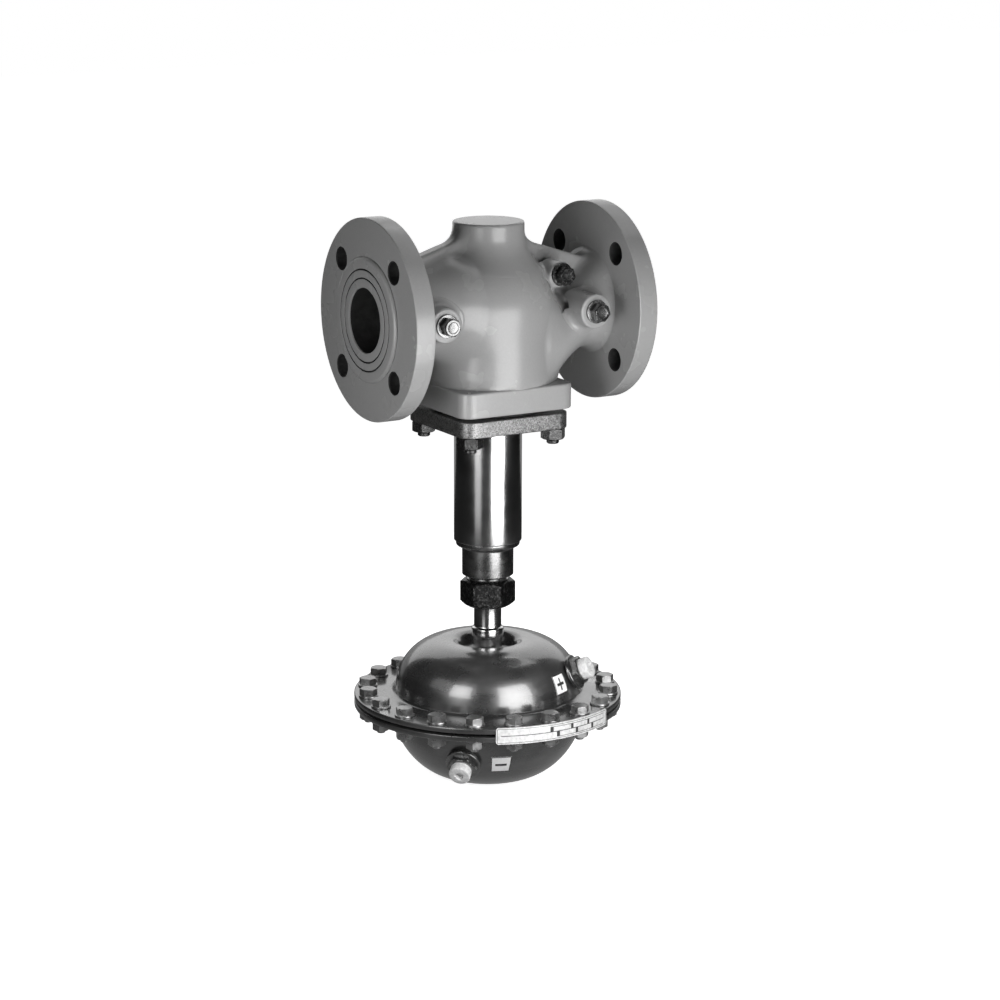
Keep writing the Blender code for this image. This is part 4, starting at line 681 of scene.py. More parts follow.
def nut(flats, bottom, top, hole=0.0, bottom_share=0.95, top_share=0.95, inside=(), sides=72):
    """A hexagon between two heights with its corners turned off at thirty degrees.

    The shares of the width across flats say where each cone starts; over 1 leaves the corners sharp. The
    hexagon is open at its hole, or closed with none; inside goes on from the top down through the hole.
    """
    steep = math.tan(math.radians(30))
    rows = [(bottom, hole)]
    for height, share, sign in ((bottom, bottom_share, 1), (top, top_share, -1)):
        circle = flats / 2 * share
        fall = (flats / math.sqrt(3) - circle) * steep
        parts = (0, 0.25, 0.5, 0.75, 1.01)
        cone = [(height + sign * fall * part, circle + fall * part / steep) for part in parts]
        rows += cone[::sign]
    return hexagonal(flats, rows + (list(inside) or [(top, hole)]), sides)


def threaded(radius, start, end, pitch, depth, tip):
    """The profile of a screwed rod: one ridge for each turn, and a cone at its end."""
    sign = 1 if end > start else -1
    turns = max(int(abs(end - start) / pitch) - 1, 1)
    root = radius - depth
    profile = [(root, start)]
    for i in range(turns):
        profile += [(radius, start + sign * pitch * (i + 0.5)), (root, start + sign * pitch * (i + 1))]
    return profile + [(root, end - sign * tip), (root - tip, end), (0, end)]


def forged(name, dark, light):
    """Forging scale: dark metal full of small bright and dull pits."""
    scale = Finish(name)
    pits, wave = scale.noise(420.0, 6.0, roughness=0.7), scale.noise(90.0, 3.0)
    return scale.set(
        Base_Color=scale.between(scale.ramp(pits, 0.52, 0.74), dark, light),
        Metallic=0.8,
        Roughness=scale.ramp(wave, 0.3, 0.7, 0.20, 0.34),
        Normal=scale.bump(pits * 1.4 + wave * 0.8, 0.0006, 0.6),
    )


stud_scale = forged("stud_scale", 62, 112)
stud_rod = threaded(STUD_RADIUS, STUD_NUT_TOP - 0.002, STUD_END, STUD_PITCH, 0.0008, 0.0008)
stud_and_nut = [nut(STUD_NUT_FLATS, STUD_NUT_TOP - STUD_NUT_HEIGHT, STUD_NUT_TOP, STUD_RADIUS),
                turned(stud_rod, 48)]
for stud_number, (stud_x, stud_y, stud_turn) in enumerate(STUDS, 1):
    stud_matrix = Matrix.Translation((stud_x * STUD_PLACE, stud_y * STUD_PLACE, 0)) @ spin(stud_turn)
    build(f"stud_and_nut_{stud_number}", placed(stud_and_nut, stud_matrix), stud_scale,
          replaced=[f"bonnet_stud_{stud_number}"], sharp=24.0)


# Screw plugs
# A hexagon-headed plug with a soft washer closes each of the three tapping bosses. Two are plated steel,
# and the upper one takes the black scale finish as painted shade, for the rib's shadow over it.

PLUG_FLATS = 0.0135
PLUG_LENGTH = 0.0085
PLUG_DISH = 0.0048
PLUG_TURN = 17
WASHER_RADIUS = 0.0097
WASHER_THICKNESS = 0.002
PLUG_TOP = WASHER_THICKNESS + PLUG_LENGTH


def plated(name, dark, light, rough):
    """Zinc plating on small parts: fairly bright, faintly blotched, with a light grain."""
    plate = Finish(name)
    blotch, fine = plate.noise(160.0, 3.0), plate.noise(1400.0, 3.0)
    return plate.set(
        Base_Color=plate.between(plate.ramp(blotch * 0.6 + fine * 0.4, 0.3, 0.7), dark, light),
        Metallic=0.9,
        Roughness=plate.ramp(blotch, 0.3, 0.7, rough, rough + 0.14),
        Normal=plate.bump(fine, 0.00012, 0.5),
    )


forged_scale_and_plug_shade = forged("forged_scale_and_plug_shade", 34, 120)
plating = plated("zinc_plating", 98, 150, 0.16)
plug_washer = rounded([(0, 0, 0), (WASHER_RADIUS, 0.0001, 0), (WASHER_RADIUS, WASHER_THICKNESS, 0.0006),
                       (PLUG_FLATS * 0.4, WASHER_THICKNESS, 0)], 4)
plug_dish = rounded([(PLUG_DISH, PLUG_TOP, 0), (PLUG_DISH - 0.0004, PLUG_TOP - 0.0005, 0.0003),
                     (0.0015, PLUG_TOP - 0.0005, 0), (0, PLUG_TOP - 0.0008, 0)], 3)
plug = [turned(plug_washer, 72), nut(PLUG_FLATS, WASHER_THICKNESS, PLUG_TOP, PLUG_DISH, 1.2, 0.93),
        turned(plug_dish, 72)]
for plug_name, (plug_x, plug_face, plug_z, _) in TAPPINGS.items():
    plug_matrix = Matrix.Translation((plug_x, -plug_face, plug_z)) @ spin(90, "X") @ spin(PLUG_TURN)
    # The upper plug's black scale is painted shade: it stands in the rib's shadow
    plug_finish = forged_scale_and_plug_shade if plug_name == "upper" else plating
    build(f"screw_plug_{plug_name}", placed(plug, plug_matrix), plug_finish,
          replaced=[f"tapping_plug_{plug_name}"], sharp=26.0)


# Bellows tube
# A length of thick steel tube between bonnet and end piece, ground and chromed, so that it mirrors the
# room in upright bands.

TUBE_RADIUS = 0.0283
TUBE_INNER = 0.0253
TUBE_TOP = -0.0902
TUBE_BOTTOM = -0.1942


def machined(name, greys, roughness, rings=(1500.0, 2.0), haze=(70.0, 4.0), relief=(0.00004, 0.4),
             span=(0.3, 0.7)):
    """Bright turned or ground metal: rings from the tool round Z, and a haze of fine scratches."""
    metal = Finish(name)
    height = metal.node("SeparateXYZ", {}, {0: metal.here()}, "Z")
    inputs = {"W": height, "Scale": rings[0], "Detail": rings[1]}
    cuts = metal.node("TexNoise", {"noise_dimensions": "1D"}, inputs)
    scratches = metal.noise(*haze)
    return metal.set(
        Base_Color=metal.between(metal.ramp(scratches, *span), *greys),
        Metallic=1.0,
        Roughness=metal.ramp(scratches, 0.3, 0.7, *roughness),
        Normal=metal.bump(cuts, *relief),
    )


chrome = machined("chromed_tube", (196, 222), (0.15, 0.23), rings=(900.0, 3.0), haze=(45.0, 3.0),
                  relief=(0.00002, 0.35), span=(0, 1))
tube_profile = rounded([(TUBE_INNER, TUBE_TOP, 0), (TUBE_RADIUS, TUBE_TOP, 0),
                        (TUBE_RADIUS, TUBE_BOTTOM, 0.0006), (TUBE_INNER, TUBE_BOTTOM, 0)], 4)
build("tube", [turned(tube_profile, 128, closed=True)], chrome, replaced=["bellows_tube"])


# End piece
# Turned from bar and pressed into the tube's lower end: a rim, a long round body and a union thread below.
# Plain steel with the rings of the tool.

END_SPIGOT_RADIUS = TUBE_INNER - 0.0003
END_SPIGOT_TOP = -0.1872
END_RIM_TOP = TUBE_BOTTOM - 0.0003
END_RIM_BOTTOM = -0.1985
END_RIM_RADIUS = 0.0265
END_BODY_RADIUS = 0.0215
END_THREAD_TOP = -0.2240
END_THREAD_RADIUS = 0.0175
END_THREAD_PITCH = 0.002
END_BOTTOM = -0.2406
END_BORE = 0.0115

turned_steel = machined("turned_steel", (140, 178), (0.21, 0.33))
end_profile = rounded([(END_BORE, END_SPIGOT_TOP, 0), (END_SPIGOT_RADIUS, END_SPIGOT_TOP, 0.0005),
                       (END_SPIGOT_RADIUS, END_RIM_TOP, 0), (END_RIM_RADIUS + 0.0005, END_RIM_TOP, 0.0006),
                       (END_RIM_RADIUS, END_RIM_BOTTOM, 0.0012),
                       (END_BODY_RADIUS, END_RIM_BOTTOM - 0.002, 0.001),
                       (END_BODY_RADIUS, END_THREAD_TOP, 0.0008),
                       (END_THREAD_RADIUS - 0.001, END_THREAD_TOP, 0.0003)], 5)
thread_start = END_THREAD_TOP - 0.0005
union_thread = threaded(END_THREAD_RADIUS, thread_start, END_BOTTOM, END_THREAD_PITCH, 0.0009, 0.001)
end_outline = np.vstack([end_profile, union_thread[:-1], [(END_BORE, END_BOTTOM)]])
build("tube_end", [turned(end_outline, 96, closed=True)], turned_steel,
      replaced=["tube_end_piece"], sharp=24.0)


# Union nut
# A forged hexagon that draws the actuator's neck against the end piece. Blackened, with pitted flats and
# corners turned off deeply at its foot.

NUT_FLATS = 0.040
NUT_TOP = -0.2280
NUT_BOTTOM = -0.2509
NUT_BORE = 0.0120
NUT_THREAD_BORE = 0.0157
NUT_FLOOR = NUT_BOTTOM + 0.0066
NUT_TURN = -1.0

nut_inside = [(NUT_TOP, NUT_THREAD_BORE + 0.0011), (NUT_TOP - 0.0010, NUT_THREAD_BORE),
              (NUT_FLOOR + 0.0003, NUT_THREAD_BORE), (NUT_FLOOR, NUT_BORE), (NUT_BOTTOM, NUT_BORE)]
union_nut = nut(NUT_FLATS, NUT_BOTTOM, NUT_TOP, NUT_BORE, 0.86, 0.93, nut_inside, 96)
build("union_nut", placed([union_nut], spin(NUT_TURN)), forged_scale_and_plug_shade,
      replaced=["coupling_nut"], sharp=24.0)


# Actuator neck
# A turned and chromed pipe with a collar, which stands in the upper case's dish and ends in a head inside
# the union nut.

NECK_BORE = 0.0060
NECK_HEAD = (0.0150, -0.2409, -0.2440)
NECK_PIPE = 0.0115
NECK_COLLAR = (0.0135, -0.2705, -0.2776)
NECK_FOOT = (0.0122, -0.2787, -0.2920)
NECK_SCREW = (0.0090, -0.3040)

head_radius, head_top, head_bottom = NECK_HEAD
collar_radius, collar_top, collar_bottom = NECK_COLLAR
foot_radius, foot_top, foot_bottom = NECK_FOOT
screw_radius, screw_bottom = NECK_SCREW
neck_profile = rounded([
    (NECK_BORE, head_top, 0), (head_radius, head_top, 0.0004), (head_radius, head_bottom, 0.0004),
    (NECK_PIPE, head_bottom, 0.0003), (NECK_PIPE, collar_top + 0.0015, 0.0006),
    (NECK_PIPE + 0.0010, collar_top + 0.0008, 0.0005), (collar_radius, collar_top, 0.0008),
    (collar_radius, collar_bottom, 0.0008), (foot_radius, foot_top, 0.0006),
    (foot_radius, foot_bottom, 0.0006), (screw_radius, foot_bottom, 0), (screw_radius, screw_bottom, 0.0004),
    (NECK_BORE, screw_bottom, 0)], 4)
bright_steel = machined("bright_neck", (196, 214), (0.14, 0.26))
build("neck", [turned(neck_profile, 96, closed=True)], bright_steel,
      replaced=["actuator_neck"], sharp=28.0)


# Diaphragm cases
# Two deep-drawn steel cases under a dark glossy coat: a dome with a dish round the neck above, a bowl
# below, and flat rims that are bolted together.

RIM_RADIUS = 0.1125
RIM_TOP = -0.3253
UPPER_JOINT = -0.3298
LOWER_JOINT = -0.3323
RIM_BOTTOM = -0.3368
DOME_RADIUS = 0.078
DOME_CROWN = 0.036
DOME_TOP = -0.2808
DOME_POWER = 2.1
DISH_FLOOR = -0.2923
DISH_BORE = 0.0094
DISH_FOOT = 0.0205
DISH_BROW = 0.0262
DISH_SHEET = 0.0045
INNER_DOME_RADIUS = 0.0735
INNER_DOME_RISE = 0.0400
UPPER_MOUTH = 0.0768
BOWL_RADIUS = 0.082
BOWL_FLOOR = 0.030
BOWL_BOTTOM = -0.3977
BOWL_POWER = 1.85
INNER_BOWL_RADIUS = 0.0775
INNER_BOWL_RISE = 0.0565
LOWER_MOUTH = 0.0800


def domed(base, sign, radius, crown, rise, power, steps):
    """Radius and height of a drawn dome from its crown to its foot: a quarter of a superellipse."""
    turn = np.radians(np.linspace(90, 0, steps))
    across = crown + (radius - crown) * np.clip(np.cos(turn), 0, 1) ** (2 / power)
    return np.column_stack([across, base + sign * rise * np.sin(turn) ** (2 / power)])


def case_rim(base, sign, radius, step, joint, inner):
    """From a dome's foot, which has a small fillet, out over the flat rim and back along the joint."""
    foot = [(radius + step, base + sign * 0.0022), (radius + step + 0.0009, base + sign * 0.0007),
            (radius + 0.0030, base)]
    edge = rounded([(radius + 0.006, base, 0), (RIM_RADIUS, base, 0.0012), (RIM_RADIUS, joint, 0.0006),
                    (inner, joint, 0)], 5)
    return np.vstack([foot, edge])


def coated():
    """Dark glossy coating over drawn sheet: smears and runs in its gloss, and faint rings of the drawing."""
    coat = Finish("case_coating")
    smear, fine = coat.noise(28.0, 5.0), coat.noise(800.0, 3.0)
    streak_place = coat.node("Mapping", {}, {0: coat.here(), 3: (18.0, 18.0, 90.0)})
    streak = coat.noise(1.0, 4.0, streak_place)
    gloss = coat.ramp(smear * 0.6 + streak * 0.4, 0.35, 0.65)
    return coat.set(
        Base_Color=coat.between(gloss, 92, 124),
        Metallic=0.80,
        Roughness=coat.ramp(gloss, 0.0, 1.0, 0.22, 0.34),
        Coat_Weight=coat.ramp(smear, 0.3, 0.7, 0.9, 0.6),
        Coat_Roughness=0.09,
        Normal=coat.bump(smear + fine * 0.12, 0.0007, 0.35),
    )


coating = coated()
upper_dome = domed(RIM_TOP, 1, DOME_RADIUS, DOME_CROWN, DOME_TOP - RIM_TOP, DOME_POWER, 40)
dish = rounded([(DISH_BORE, DISH_FLOOR, 0), (DISH_FOOT, DISH_FLOOR, 0.005), (DISH_BROW, DOME_TOP, 0.007),
                (DOME_CROWN, DOME_TOP, 0)], 8)
inner_dome = domed(RIM_TOP, 1, INNER_DOME_RADIUS, DOME_CROWN - 0.002, INNER_DOME_RISE, DOME_POWER, 30)
inner_dish = [(DISH_BROW + 0.0023, RIM_TOP + INNER_DOME_RISE - 0.0004),
              (DISH_FOOT + 0.0015, DISH_FLOOR - DISH_SHEET), (DISH_BORE, DISH_FLOOR - DISH_SHEET)]
upper_loop = np.vstack([dish[:-1], upper_dome[:-1],
                        case_rim(RIM_TOP, 1, DOME_RADIUS, 0.0002, UPPER_JOINT, UPPER_MOUTH),
                        [(INNER_DOME_RADIUS + 0.0005, RIM_TOP - 0.0010)], inner_dome[::-1], inner_dish])
build("case_upper", [turned(upper_loop, 192, closed=True)], coating, replaced=["upper_case"],
      sharp=40.0)

bowl = domed(RIM_BOTTOM, -1, BOWL_RADIUS, BOWL_FLOOR, RIM_BOTTOM - BOWL_BOTTOM, BOWL_POWER, 44)
inner_bowl = domed(RIM_BOTTOM, -1, INNER_BOWL_RADIUS, BOWL_FLOOR, INNER_BOWL_RISE, BOWL_POWER, 34)
lower_loop = np.vstack([[(0, BOWL_BOTTOM)], bowl[:-1],
                        case_rim(RIM_BOTTOM, -1, BOWL_RADIUS, 0.0003, LOWER_JOINT, LOWER_MOUTH),
                        [(INNER_BOWL_RADIUS + 0.0003, RIM_BOTTOM + 0.0012)], inner_bowl[::-1],
                        [(0, RIM_BOTTOM - INNER_BOWL_RISE)]])
build("case_lower", [turned(lower_loop, 192)], coating, replaced=["lower_case"], sharp=40.0)


# Rim bolts
# Twenty M8 bolts through both rims, each with a washer above and below and a hexagon nut. Zinc plated and
# a little dull.

BOLT_COUNT = 20
BOLT_CIRCLE = 0.102
BOLT_RADIUS = 0.004
BOLT_PITCH = 0.00125
BOLT_FLATS = 0.013
BOLT_WASHER = 0.0082
BOLT_WASHER_TOP = RIM_TOP + 0.0016
BOLT_WASHER_BOTTOM = RIM_BOTTOM - 0.0015
BOLT_HEAD_TOP = RIM_TOP + 0.0073
BOLT_NUT_BOTTOM = RIM_BOTTOM - 0.0080
BOLT_END = RIM_BOTTOM - 0.0105
BOLT_GAP = 0.0001

bolt_parts = [
    turned(rounded([(0, RIM_TOP + BOLT_GAP, 0), (BOLT_WASHER, RIM_TOP + BOLT_GAP, 0.0002),
                    (BOLT_WASHER, BOLT_WASHER_TOP, 0.0004), (BOLT_RADIUS, BOLT_WASHER_TOP, 0)], 3), 48),
    nut(BOLT_FLATS, BOLT_WASHER_TOP, BOLT_HEAD_TOP, 0.0, 1.2, 0.94),
    turned(rounded([(BOLT_RADIUS, BOLT_WASHER_BOTTOM, 0), (BOLT_WASHER, BOLT_WASHER_BOTTOM, 0.0004),
                    (BOLT_WASHER, RIM_BOTTOM - BOLT_GAP, 0.0002), (0, RIM_BOTTOM - BOLT_GAP, 0)], 3), 48),
    nut(BOLT_FLATS, BOLT_NUT_BOTTOM, BOLT_WASHER_BOTTOM, BOLT_RADIUS - 0.0002, 0.94, 1.2),
    turned(threaded(BOLT_RADIUS, BOLT_NUT_BOTTOM + 0.001, BOLT_END, BOLT_PITCH, 0.0005, 0.0006), 36),
]
rim_bolts = []
for bolt_number in range(BOLT_COUNT):
    stand = spin(360 / BOLT_COUNT * bolt_number) @ Matrix.Translation((BOLT_CIRCLE, 0, 0))
    rim_bolts += placed(bolt_parts, stand @ spin(11 + 47 * bolt_number % 23))
build("rim_bolts", rim_bolts, plated("bolt_plating", 132, 186, 0.24),
      replaced=[f"case_bolt_{number:02d}" for number in range(1, BOLT_COUNT + 1)], sharp=26.0)


# Control line connections
# On each case a screwed connection with a hexagon, closed for transport by a white plastic cap whose
# middle is open.

CONNECTIONS = {"lower": -135.0, "upper": -48.0}
# How far up its case's height each one stands, and where the frame has the lower case's end
CONNECTION_SHARE = 0.47
CASE_BOTTOM = cad_bounds[0][2]
BASE_RADIUS = 0.0148
BASE_TOP = 0.0046
LINE_FLATS = 0.022
LINE_FLATS_TOP = BASE_TOP + 0.006
LINE_RADIUS = 0.0088
LINE_TOP = 0.0131
LINE_BORE = 0.003
PIPE_RADIUS = 0.0075
CAP_RADIUS = 0.0090
CAP_BOTTOM = 0.0095
CAP_TOP = 0.0180


def connection_matrix(name):
    """The place on a case where a connection stands, with Z along the case's outward normal."""
    if name == "upper":
        rim, crown, power, base, end, sign = DOME_RADIUS, DOME_CROWN, DOME_POWER, RIM_TOP, DOME_TOP, 1
    else:
        rim, crown, power, base, end, sign = BOWL_RADIUS, BOWL_FLOOR, BOWL_POWER, RIM_BOTTOM, CASE_BOTTOM, -1
    rise = sign * (end - base)
    share = (1 - CONNECTION_SHARE ** power) ** (1 / power)
    slope = rise / (rim - crown) * (share / CONNECTION_SHARE) ** (power - 1)
    outward = Vector((slope, 0, sign)).normalized()
    upright = Vector((0, 0, 1)).rotation_difference(outward).to_matrix().to_4x4()
    place = (crown + (rim - crown) * share, 0, base + sign * rise * CONNECTION_SHARE)
    return spin(CONNECTIONS[name]) @ Matrix.Translation(place) @ upright


def cap_sheet():
    """The cap: a round skirt and top, and an opening with a torn edge that goes down into it."""
    turn = np.arange(72) * 2 * np.pi / 72
    torn = 0.0036 + 0.0005 * np.sin(3 * turn + 1) + 0.0003 * np.sin(7 * turn)
    outside = rounded([(CAP_RADIUS - 0.0002, CAP_BOTTOM, 0), (CAP_RADIUS, CAP_BOTTOM + 0.0039, 0.0003),
                       (CAP_RADIUS, CAP_TOP - 0.0002, 0.0012), (0.0050, CAP_TOP, 0)], 5)
    rows = [around_z(radius, turn, height) for radius, height in outside]
    for growth, height in ((0.0004, CAP_TOP), (0.0, CAP_TOP - 0.0004), (0.0, CAP_TOP - 0.0045)):
        rows.append(around_z(torn + growth, turn, height))
    return sheet(rows, first_pole=True, last_pole=True)


# Milky moulded plastic, slightly dirty
white_plastic = mottled("white_plastic", 380.0, 4.0, (205, 236), 0.45, (0.0002, 0.3), (0.35, 0.62))
fitting = [
    turned(rounded([(PIPE_RADIUS, -0.006, 0), (PIPE_RADIUS, 0.0014, 0), (BASE_RADIUS, 0.0016, 0.0006),
                    (BASE_RADIUS, BASE_TOP, 0.0012), (LINE_RADIUS, BASE_TOP + 0.0002, 0)], 5), 72),
    nut(LINE_FLATS, BASE_TOP, LINE_FLATS_TOP, PIPE_RADIUS, 1.2, 0.93),
    turned(rounded([(LINE_RADIUS, LINE_FLATS_TOP, 0.0004), (0.0080, LINE_FLATS_TOP + 0.0002, 0.0003),
                    (PIPE_RADIUS, LINE_TOP, 0.0004), (LINE_BORE, LINE_TOP, 0), (LINE_BORE, 0.004, 0),
                    (0, 0.004, 0)], 4), 72),
]
for line_name in CONNECTIONS:
    line_matrix = connection_matrix(line_name)
    build(f"line_fitting_{line_name}", placed(fitting, line_matrix), plating,
          replaced=[f"connection_{line_name}"], sharp=28.0)
    build(f"line_cap_{line_name}", placed([cap_sheet()], line_matrix), white_plastic,
          replaced=[f"cap_{line_name}"], sharp=40.0)


# Name plate
# A thin aluminium strip bent round the rim, printed with a border and two rows of blank fields.
# Its wording is left out.

PLATE_START = -116.7
PLATE_END = -60.5
PLATE_HEIGHT = 0.014
PLATE_CORNER = 0.0022
PLATE_INNER = 0.1128
PLATE_OUTER = 0.1137
PLATE_MIDDLE = (RIM_TOP + RIM_BOTTOM) / 2
# The plate's length and height in the millimetres that its print is laid out in
PRINT_SIZE = (111.0, 14.0)
BORDER = [(1.0, 110.0, 12.6, 12.95), (1.0, 110.0, 1.05, 1.4), (1.0, 1.35, 1.05, 12.95),
          (109.6, 110.0, 1.05, 12.95)]
FIELD_LINES = [(4.0, 106.0, 6.7, 7.3), (46.0, 106.0, 11.0, 11.4), (52.0, 106.0, 2.4, 2.8)]
UPPER_FIELDS = [(46.0, 49.0), (66.0, 68.5), (84.0, 86.5)]
LOWER_FIELDS = [(52.0, 55.0), (71.0, 73.5), (89.0, 91.5)]


def printed(material, size, rules):
    """One where any of the printed rules is: each is a box in millimetres of the map, from low to high."""
    uv = material.node("UVMap", {"uv_map": "UVMap"}, {})
    across = material.node("SeparateXYZ", {}, {0: uv}, "X") * size[0]
    along = material.node("SeparateXYZ", {}, {0: uv}, "Y") * size[1]
    total = None
    for left, right, low, high in rules:
        inside = (across > left) * (across < right) * (along > low) * (along < high)
        total = total.maximum(inside) if total else inside
    return total


def plate_print():
    """Pale metal with dark printing: a border line and the frames of two rows of fields."""
    plate = Finish("name_plate_print")
    fields = [(*field, 7.3, 11.2) for field in UPPER_FIELDS] + [(*field, 2.6, 6.7) for field in LOWER_FIELDS]
    ink = printed(plate, PRINT_SIZE, BORDER + FIELD_LINES + fields)
    grime = plate.noise(300.0, 5.0)
    bare = plate.between(plate.ramp(grime, 0.35, 0.65), 205, 238)
    return plate.set(
        Base_Color=plate.blend(ink, bare, grey(52)),
        Metallic=0.15,
        Roughness=plate.ramp(grime, 0.3, 0.7, 0.35, 0.50),
        Normal=plate.bump(grime, 0.00008, 0.3),
    )


def bent_plate():
    """The plate bent round the rim: a sheet of columns along the rim and rows up it, with its thickness."""
    span = math.radians(PLATE_END - PLATE_START) * PLATE_OUTER
    ends, straight = np.linspace(0, PLATE_CORNER, 7), np.linspace(PLATE_CORNER, span - PLATE_CORNER, 60)
    along = np.concatenate([ends, straight[1:-1], span - ends[::-1]])
    to_corner = PLATE_CORNER - np.minimum(np.minimum(along, span - along), PLATE_CORNER)
    curve = np.sqrt(np.clip(PLATE_CORNER ** 2 - to_corner ** 2, 0, None))
    half = PLATE_HEIGHT / 2 - PLATE_CORNER + curve
    angle = math.radians(PLATE_START) + along / PLATE_OUTER
    loop = [(PLATE_OUTER, -1), (PLATE_OUTER, -0.5), (PLATE_OUTER, 0), (PLATE_OUTER, 0.5), (PLATE_OUTER, 1),
            (PLATE_INNER, 1), (PLATE_INNER, -1)]
    rows = [around_z(radius, angle, PLATE_MIDDLE + share * half) for radius, share in loop]
    return sheet(np.array(rows).transpose(1, 0, 2), first_pole=True, last_pole=True)


def lay_uv(piece, make):
    """Give a piece a UV map whose U and V follow from each corner's place."""
    mesh = piece.data
    place = np.zeros(len(mesh.vertices) * 3)
    mesh.vertices.foreach_get("co", place)
    corner = np.zeros(len(mesh.loops), int)
    mesh.loops.foreach_get("vertex_index", corner)
    layer = mesh.uv_layers.new(name="UVMap")
    layer.data.foreach_set("uv", make(place.reshape(-1, 3))[corner].astype(np.float32).ravel())


def plate_uv(place):
    angle = np.degrees(np.arctan2(place[:, 1], place[:, 0]))
    across = (angle - PLATE_START) / (PLATE_END - PLATE_START)
    return np.column_stack([across, (place[:, 2] - PLATE_MIDDLE) / PLATE_HEIGHT + 0.5])


plate_piece = build("rim_plate", [bent_plate()], plate_print(), replaced=["name_plate"],
                    sharp=40.0)
lay_uv(plate_piece, plate_uv)


# Sign tags
# Two small paper stickers with a thin black border: a plus sign on the dome and a minus sign on the bowl,
# which say where each control line goes.

# Each tag's angle about Z, width, height, lean in degrees and the height of its middle
TAGS = {"minus": (-111.4, 0.0160, 0.0175, 0.0, -0.3684), "plus": (-66.5, 0.0148, 0.0165, 2.0, -0.3073)}
TAG_OUTER = 0.00035
TAG_INNER = 0.00005
TAG_COLUMNS = 13
TAG_ROWS = 11
# The map in which a tag's border and sign are laid out, from low to high
TAG_PRINT = (16.0, 13.0)
TAG_BORDER = [(0.0, 16.0, 0.0, 0.55), (0.0, 16.0, 12.45, 13.0), (0.0, 0.55, 0.0, 13.0),
              (15.45, 16.0, 0.0, 13.0)]
SIGN_BARS = {"minus": [(3.2, 12.8, 5.6, 7.4)], "plus": [(3.2, 12.8, 5.6, 7.4), (7.1, 8.9, 2.4, 10.6)]}


def tag_grids(name):
    """A tag's outer and inner face, laid from a flat rectangle onto its case, and each point's UV place."""
    angle, wide, tall, lean, level = TAGS[name]
    outline, sign = (upper_dome, -1) if name == "plus" else (bowl, 1)
    across, up = np.meshgrid(np.linspace(-wide / 2, wide / 2, TAG_COLUMNS),
                             np.linspace(-tall / 2, tall / 2, TAG_ROWS))
    cos, sin = math.cos(math.radians(lean)), math.sin(math.radians(lean))
    side, rise = across * cos - up * sin, across * sin + up * cos
    order = np.argsort(outline[:, 1])
    length = np.concatenate([[0], np.cumsum(np.linalg.norm(np.diff(outline, axis=0), axis=1))])
    levels = outline[order, 1]
    centre, middle = (np.interp(level, levels, measure[order]) for measure in (outline[:, 0], length))
    along = middle + sign * rise
    radius, height = np.interp(along, length, outline[:, 0]), np.interp(along, length, outline[:, 1])
    slope = np.gradient(outline, axis=0)
    normal = np.stack([np.interp(along, length, -slope[:, 1]), np.interp(along, length, slope[:, 0])], -1)
    normal /= np.linalg.norm(normal, axis=-1)[..., None]
    normal *= -1 if normal[0, 0, 0] < 0 else 1
    turn = math.radians(angle) + side / centre
    grids = [around_z(radius + normal[..., 0] * lift, turn, height + normal[..., 1] * lift)
             for lift in (TAG_OUTER, TAG_INNER)]
    return *grids, np.stack([across / wide + 0.5, up / tall + 0.5], -1)


def tag_paper(name):
    """White paper with a border and the sign's bars."""
    paper = Finish("tag_" + name)
    ink = printed(paper, TAG_PRINT, TAG_BORDER + SIGN_BARS[name])
    fibre = paper.noise(600.0, 4.0)
    return paper.set(Base_Color=paper.blend(ink, paper.between(fibre, 232, 250), grey(40)), Roughness=0.6,
                     Normal=paper.bump(fibre, 0.00006, 0.3))


for tag_name in TAGS:
    outer_grid, inner_grid, tag_share = tag_grids(tag_name)
    sides = [grid[edge] for grid in (outer_grid, inner_grid) for edge in (
        np.s_[0, :-1], np.s_[:-1, -1], np.s_[-1, :0:-1], np.s_[:0:-1, 0])]
    skirt = [np.concatenate(sides[:4]), np.concatenate(sides[4:])]
    tag_sheets = [sheet(outer_grid, around=False), sheet(inner_grid, around=False), sheet(skirt)]
    tag_piece = build("sign_tag_" + tag_name, tag_sheets, tag_paper(tag_name), sharp=50.0)
    flat_places, flat_share = outer_grid.reshape(-1, 3), tag_share.reshape(-1, 2)

    def tag_uv(place, places=flat_places, shares=flat_share):
        nearest = np.argmin(np.linalg.norm(place[:, None] - places[None], axis=-1), axis=1)
        return shares[nearest]

    lay_uv(tag_piece, tag_uv)


# Bellows and springs
# Inside the tube a thin corrugated steel bellows balances the plug. In the lower case two coil springs set
# the pressure. All three change length with the stem.

BELLOWS_TOP = -0.1043
BELLOWS_BOTTOM = -0.1869
BELLOWS_WAVES = 6
BELLOWS_MIDDLE = 0.019
BELLOWS_DEPTH = 0.003
BELLOWS_SHEET = 0.0012
# Each spring's radius, its wire's radius and its turns
SPRINGS = {"outer": (0.034, 0.0032, 5.0), "inner": (0.022, 0.0024, 6.5)}
SPRING_TOP = -0.3372
SPRING_BOTTOM = -0.3867
SPRING_GAP = 0.0003
FLAT_TURNS = 0.8


def wavy(steps):
    """The bellows' outline: a round wave between its root and its crest, and back inside by its sheet."""
    share = np.linspace(0, 1, BELLOWS_WAVES * steps + 1)
    radius = BELLOWS_MIDDLE - BELLOWS_DEPTH * np.cos(2 * np.pi * BELLOWS_WAVES * share)
    outside = np.column_stack([radius, BELLOWS_TOP + (BELLOWS_BOTTOM - BELLOWS_TOP) * share])
    return np.vstack([outside, (outside - [BELLOWS_SHEET, 0])[::-1]])


bellows = build("bellows_waves", [turned(wavy(12), 64, closed=True)], turned_steel,
                replaced=["balance_bellows"])
bellows.parent = None
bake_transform(bellows)


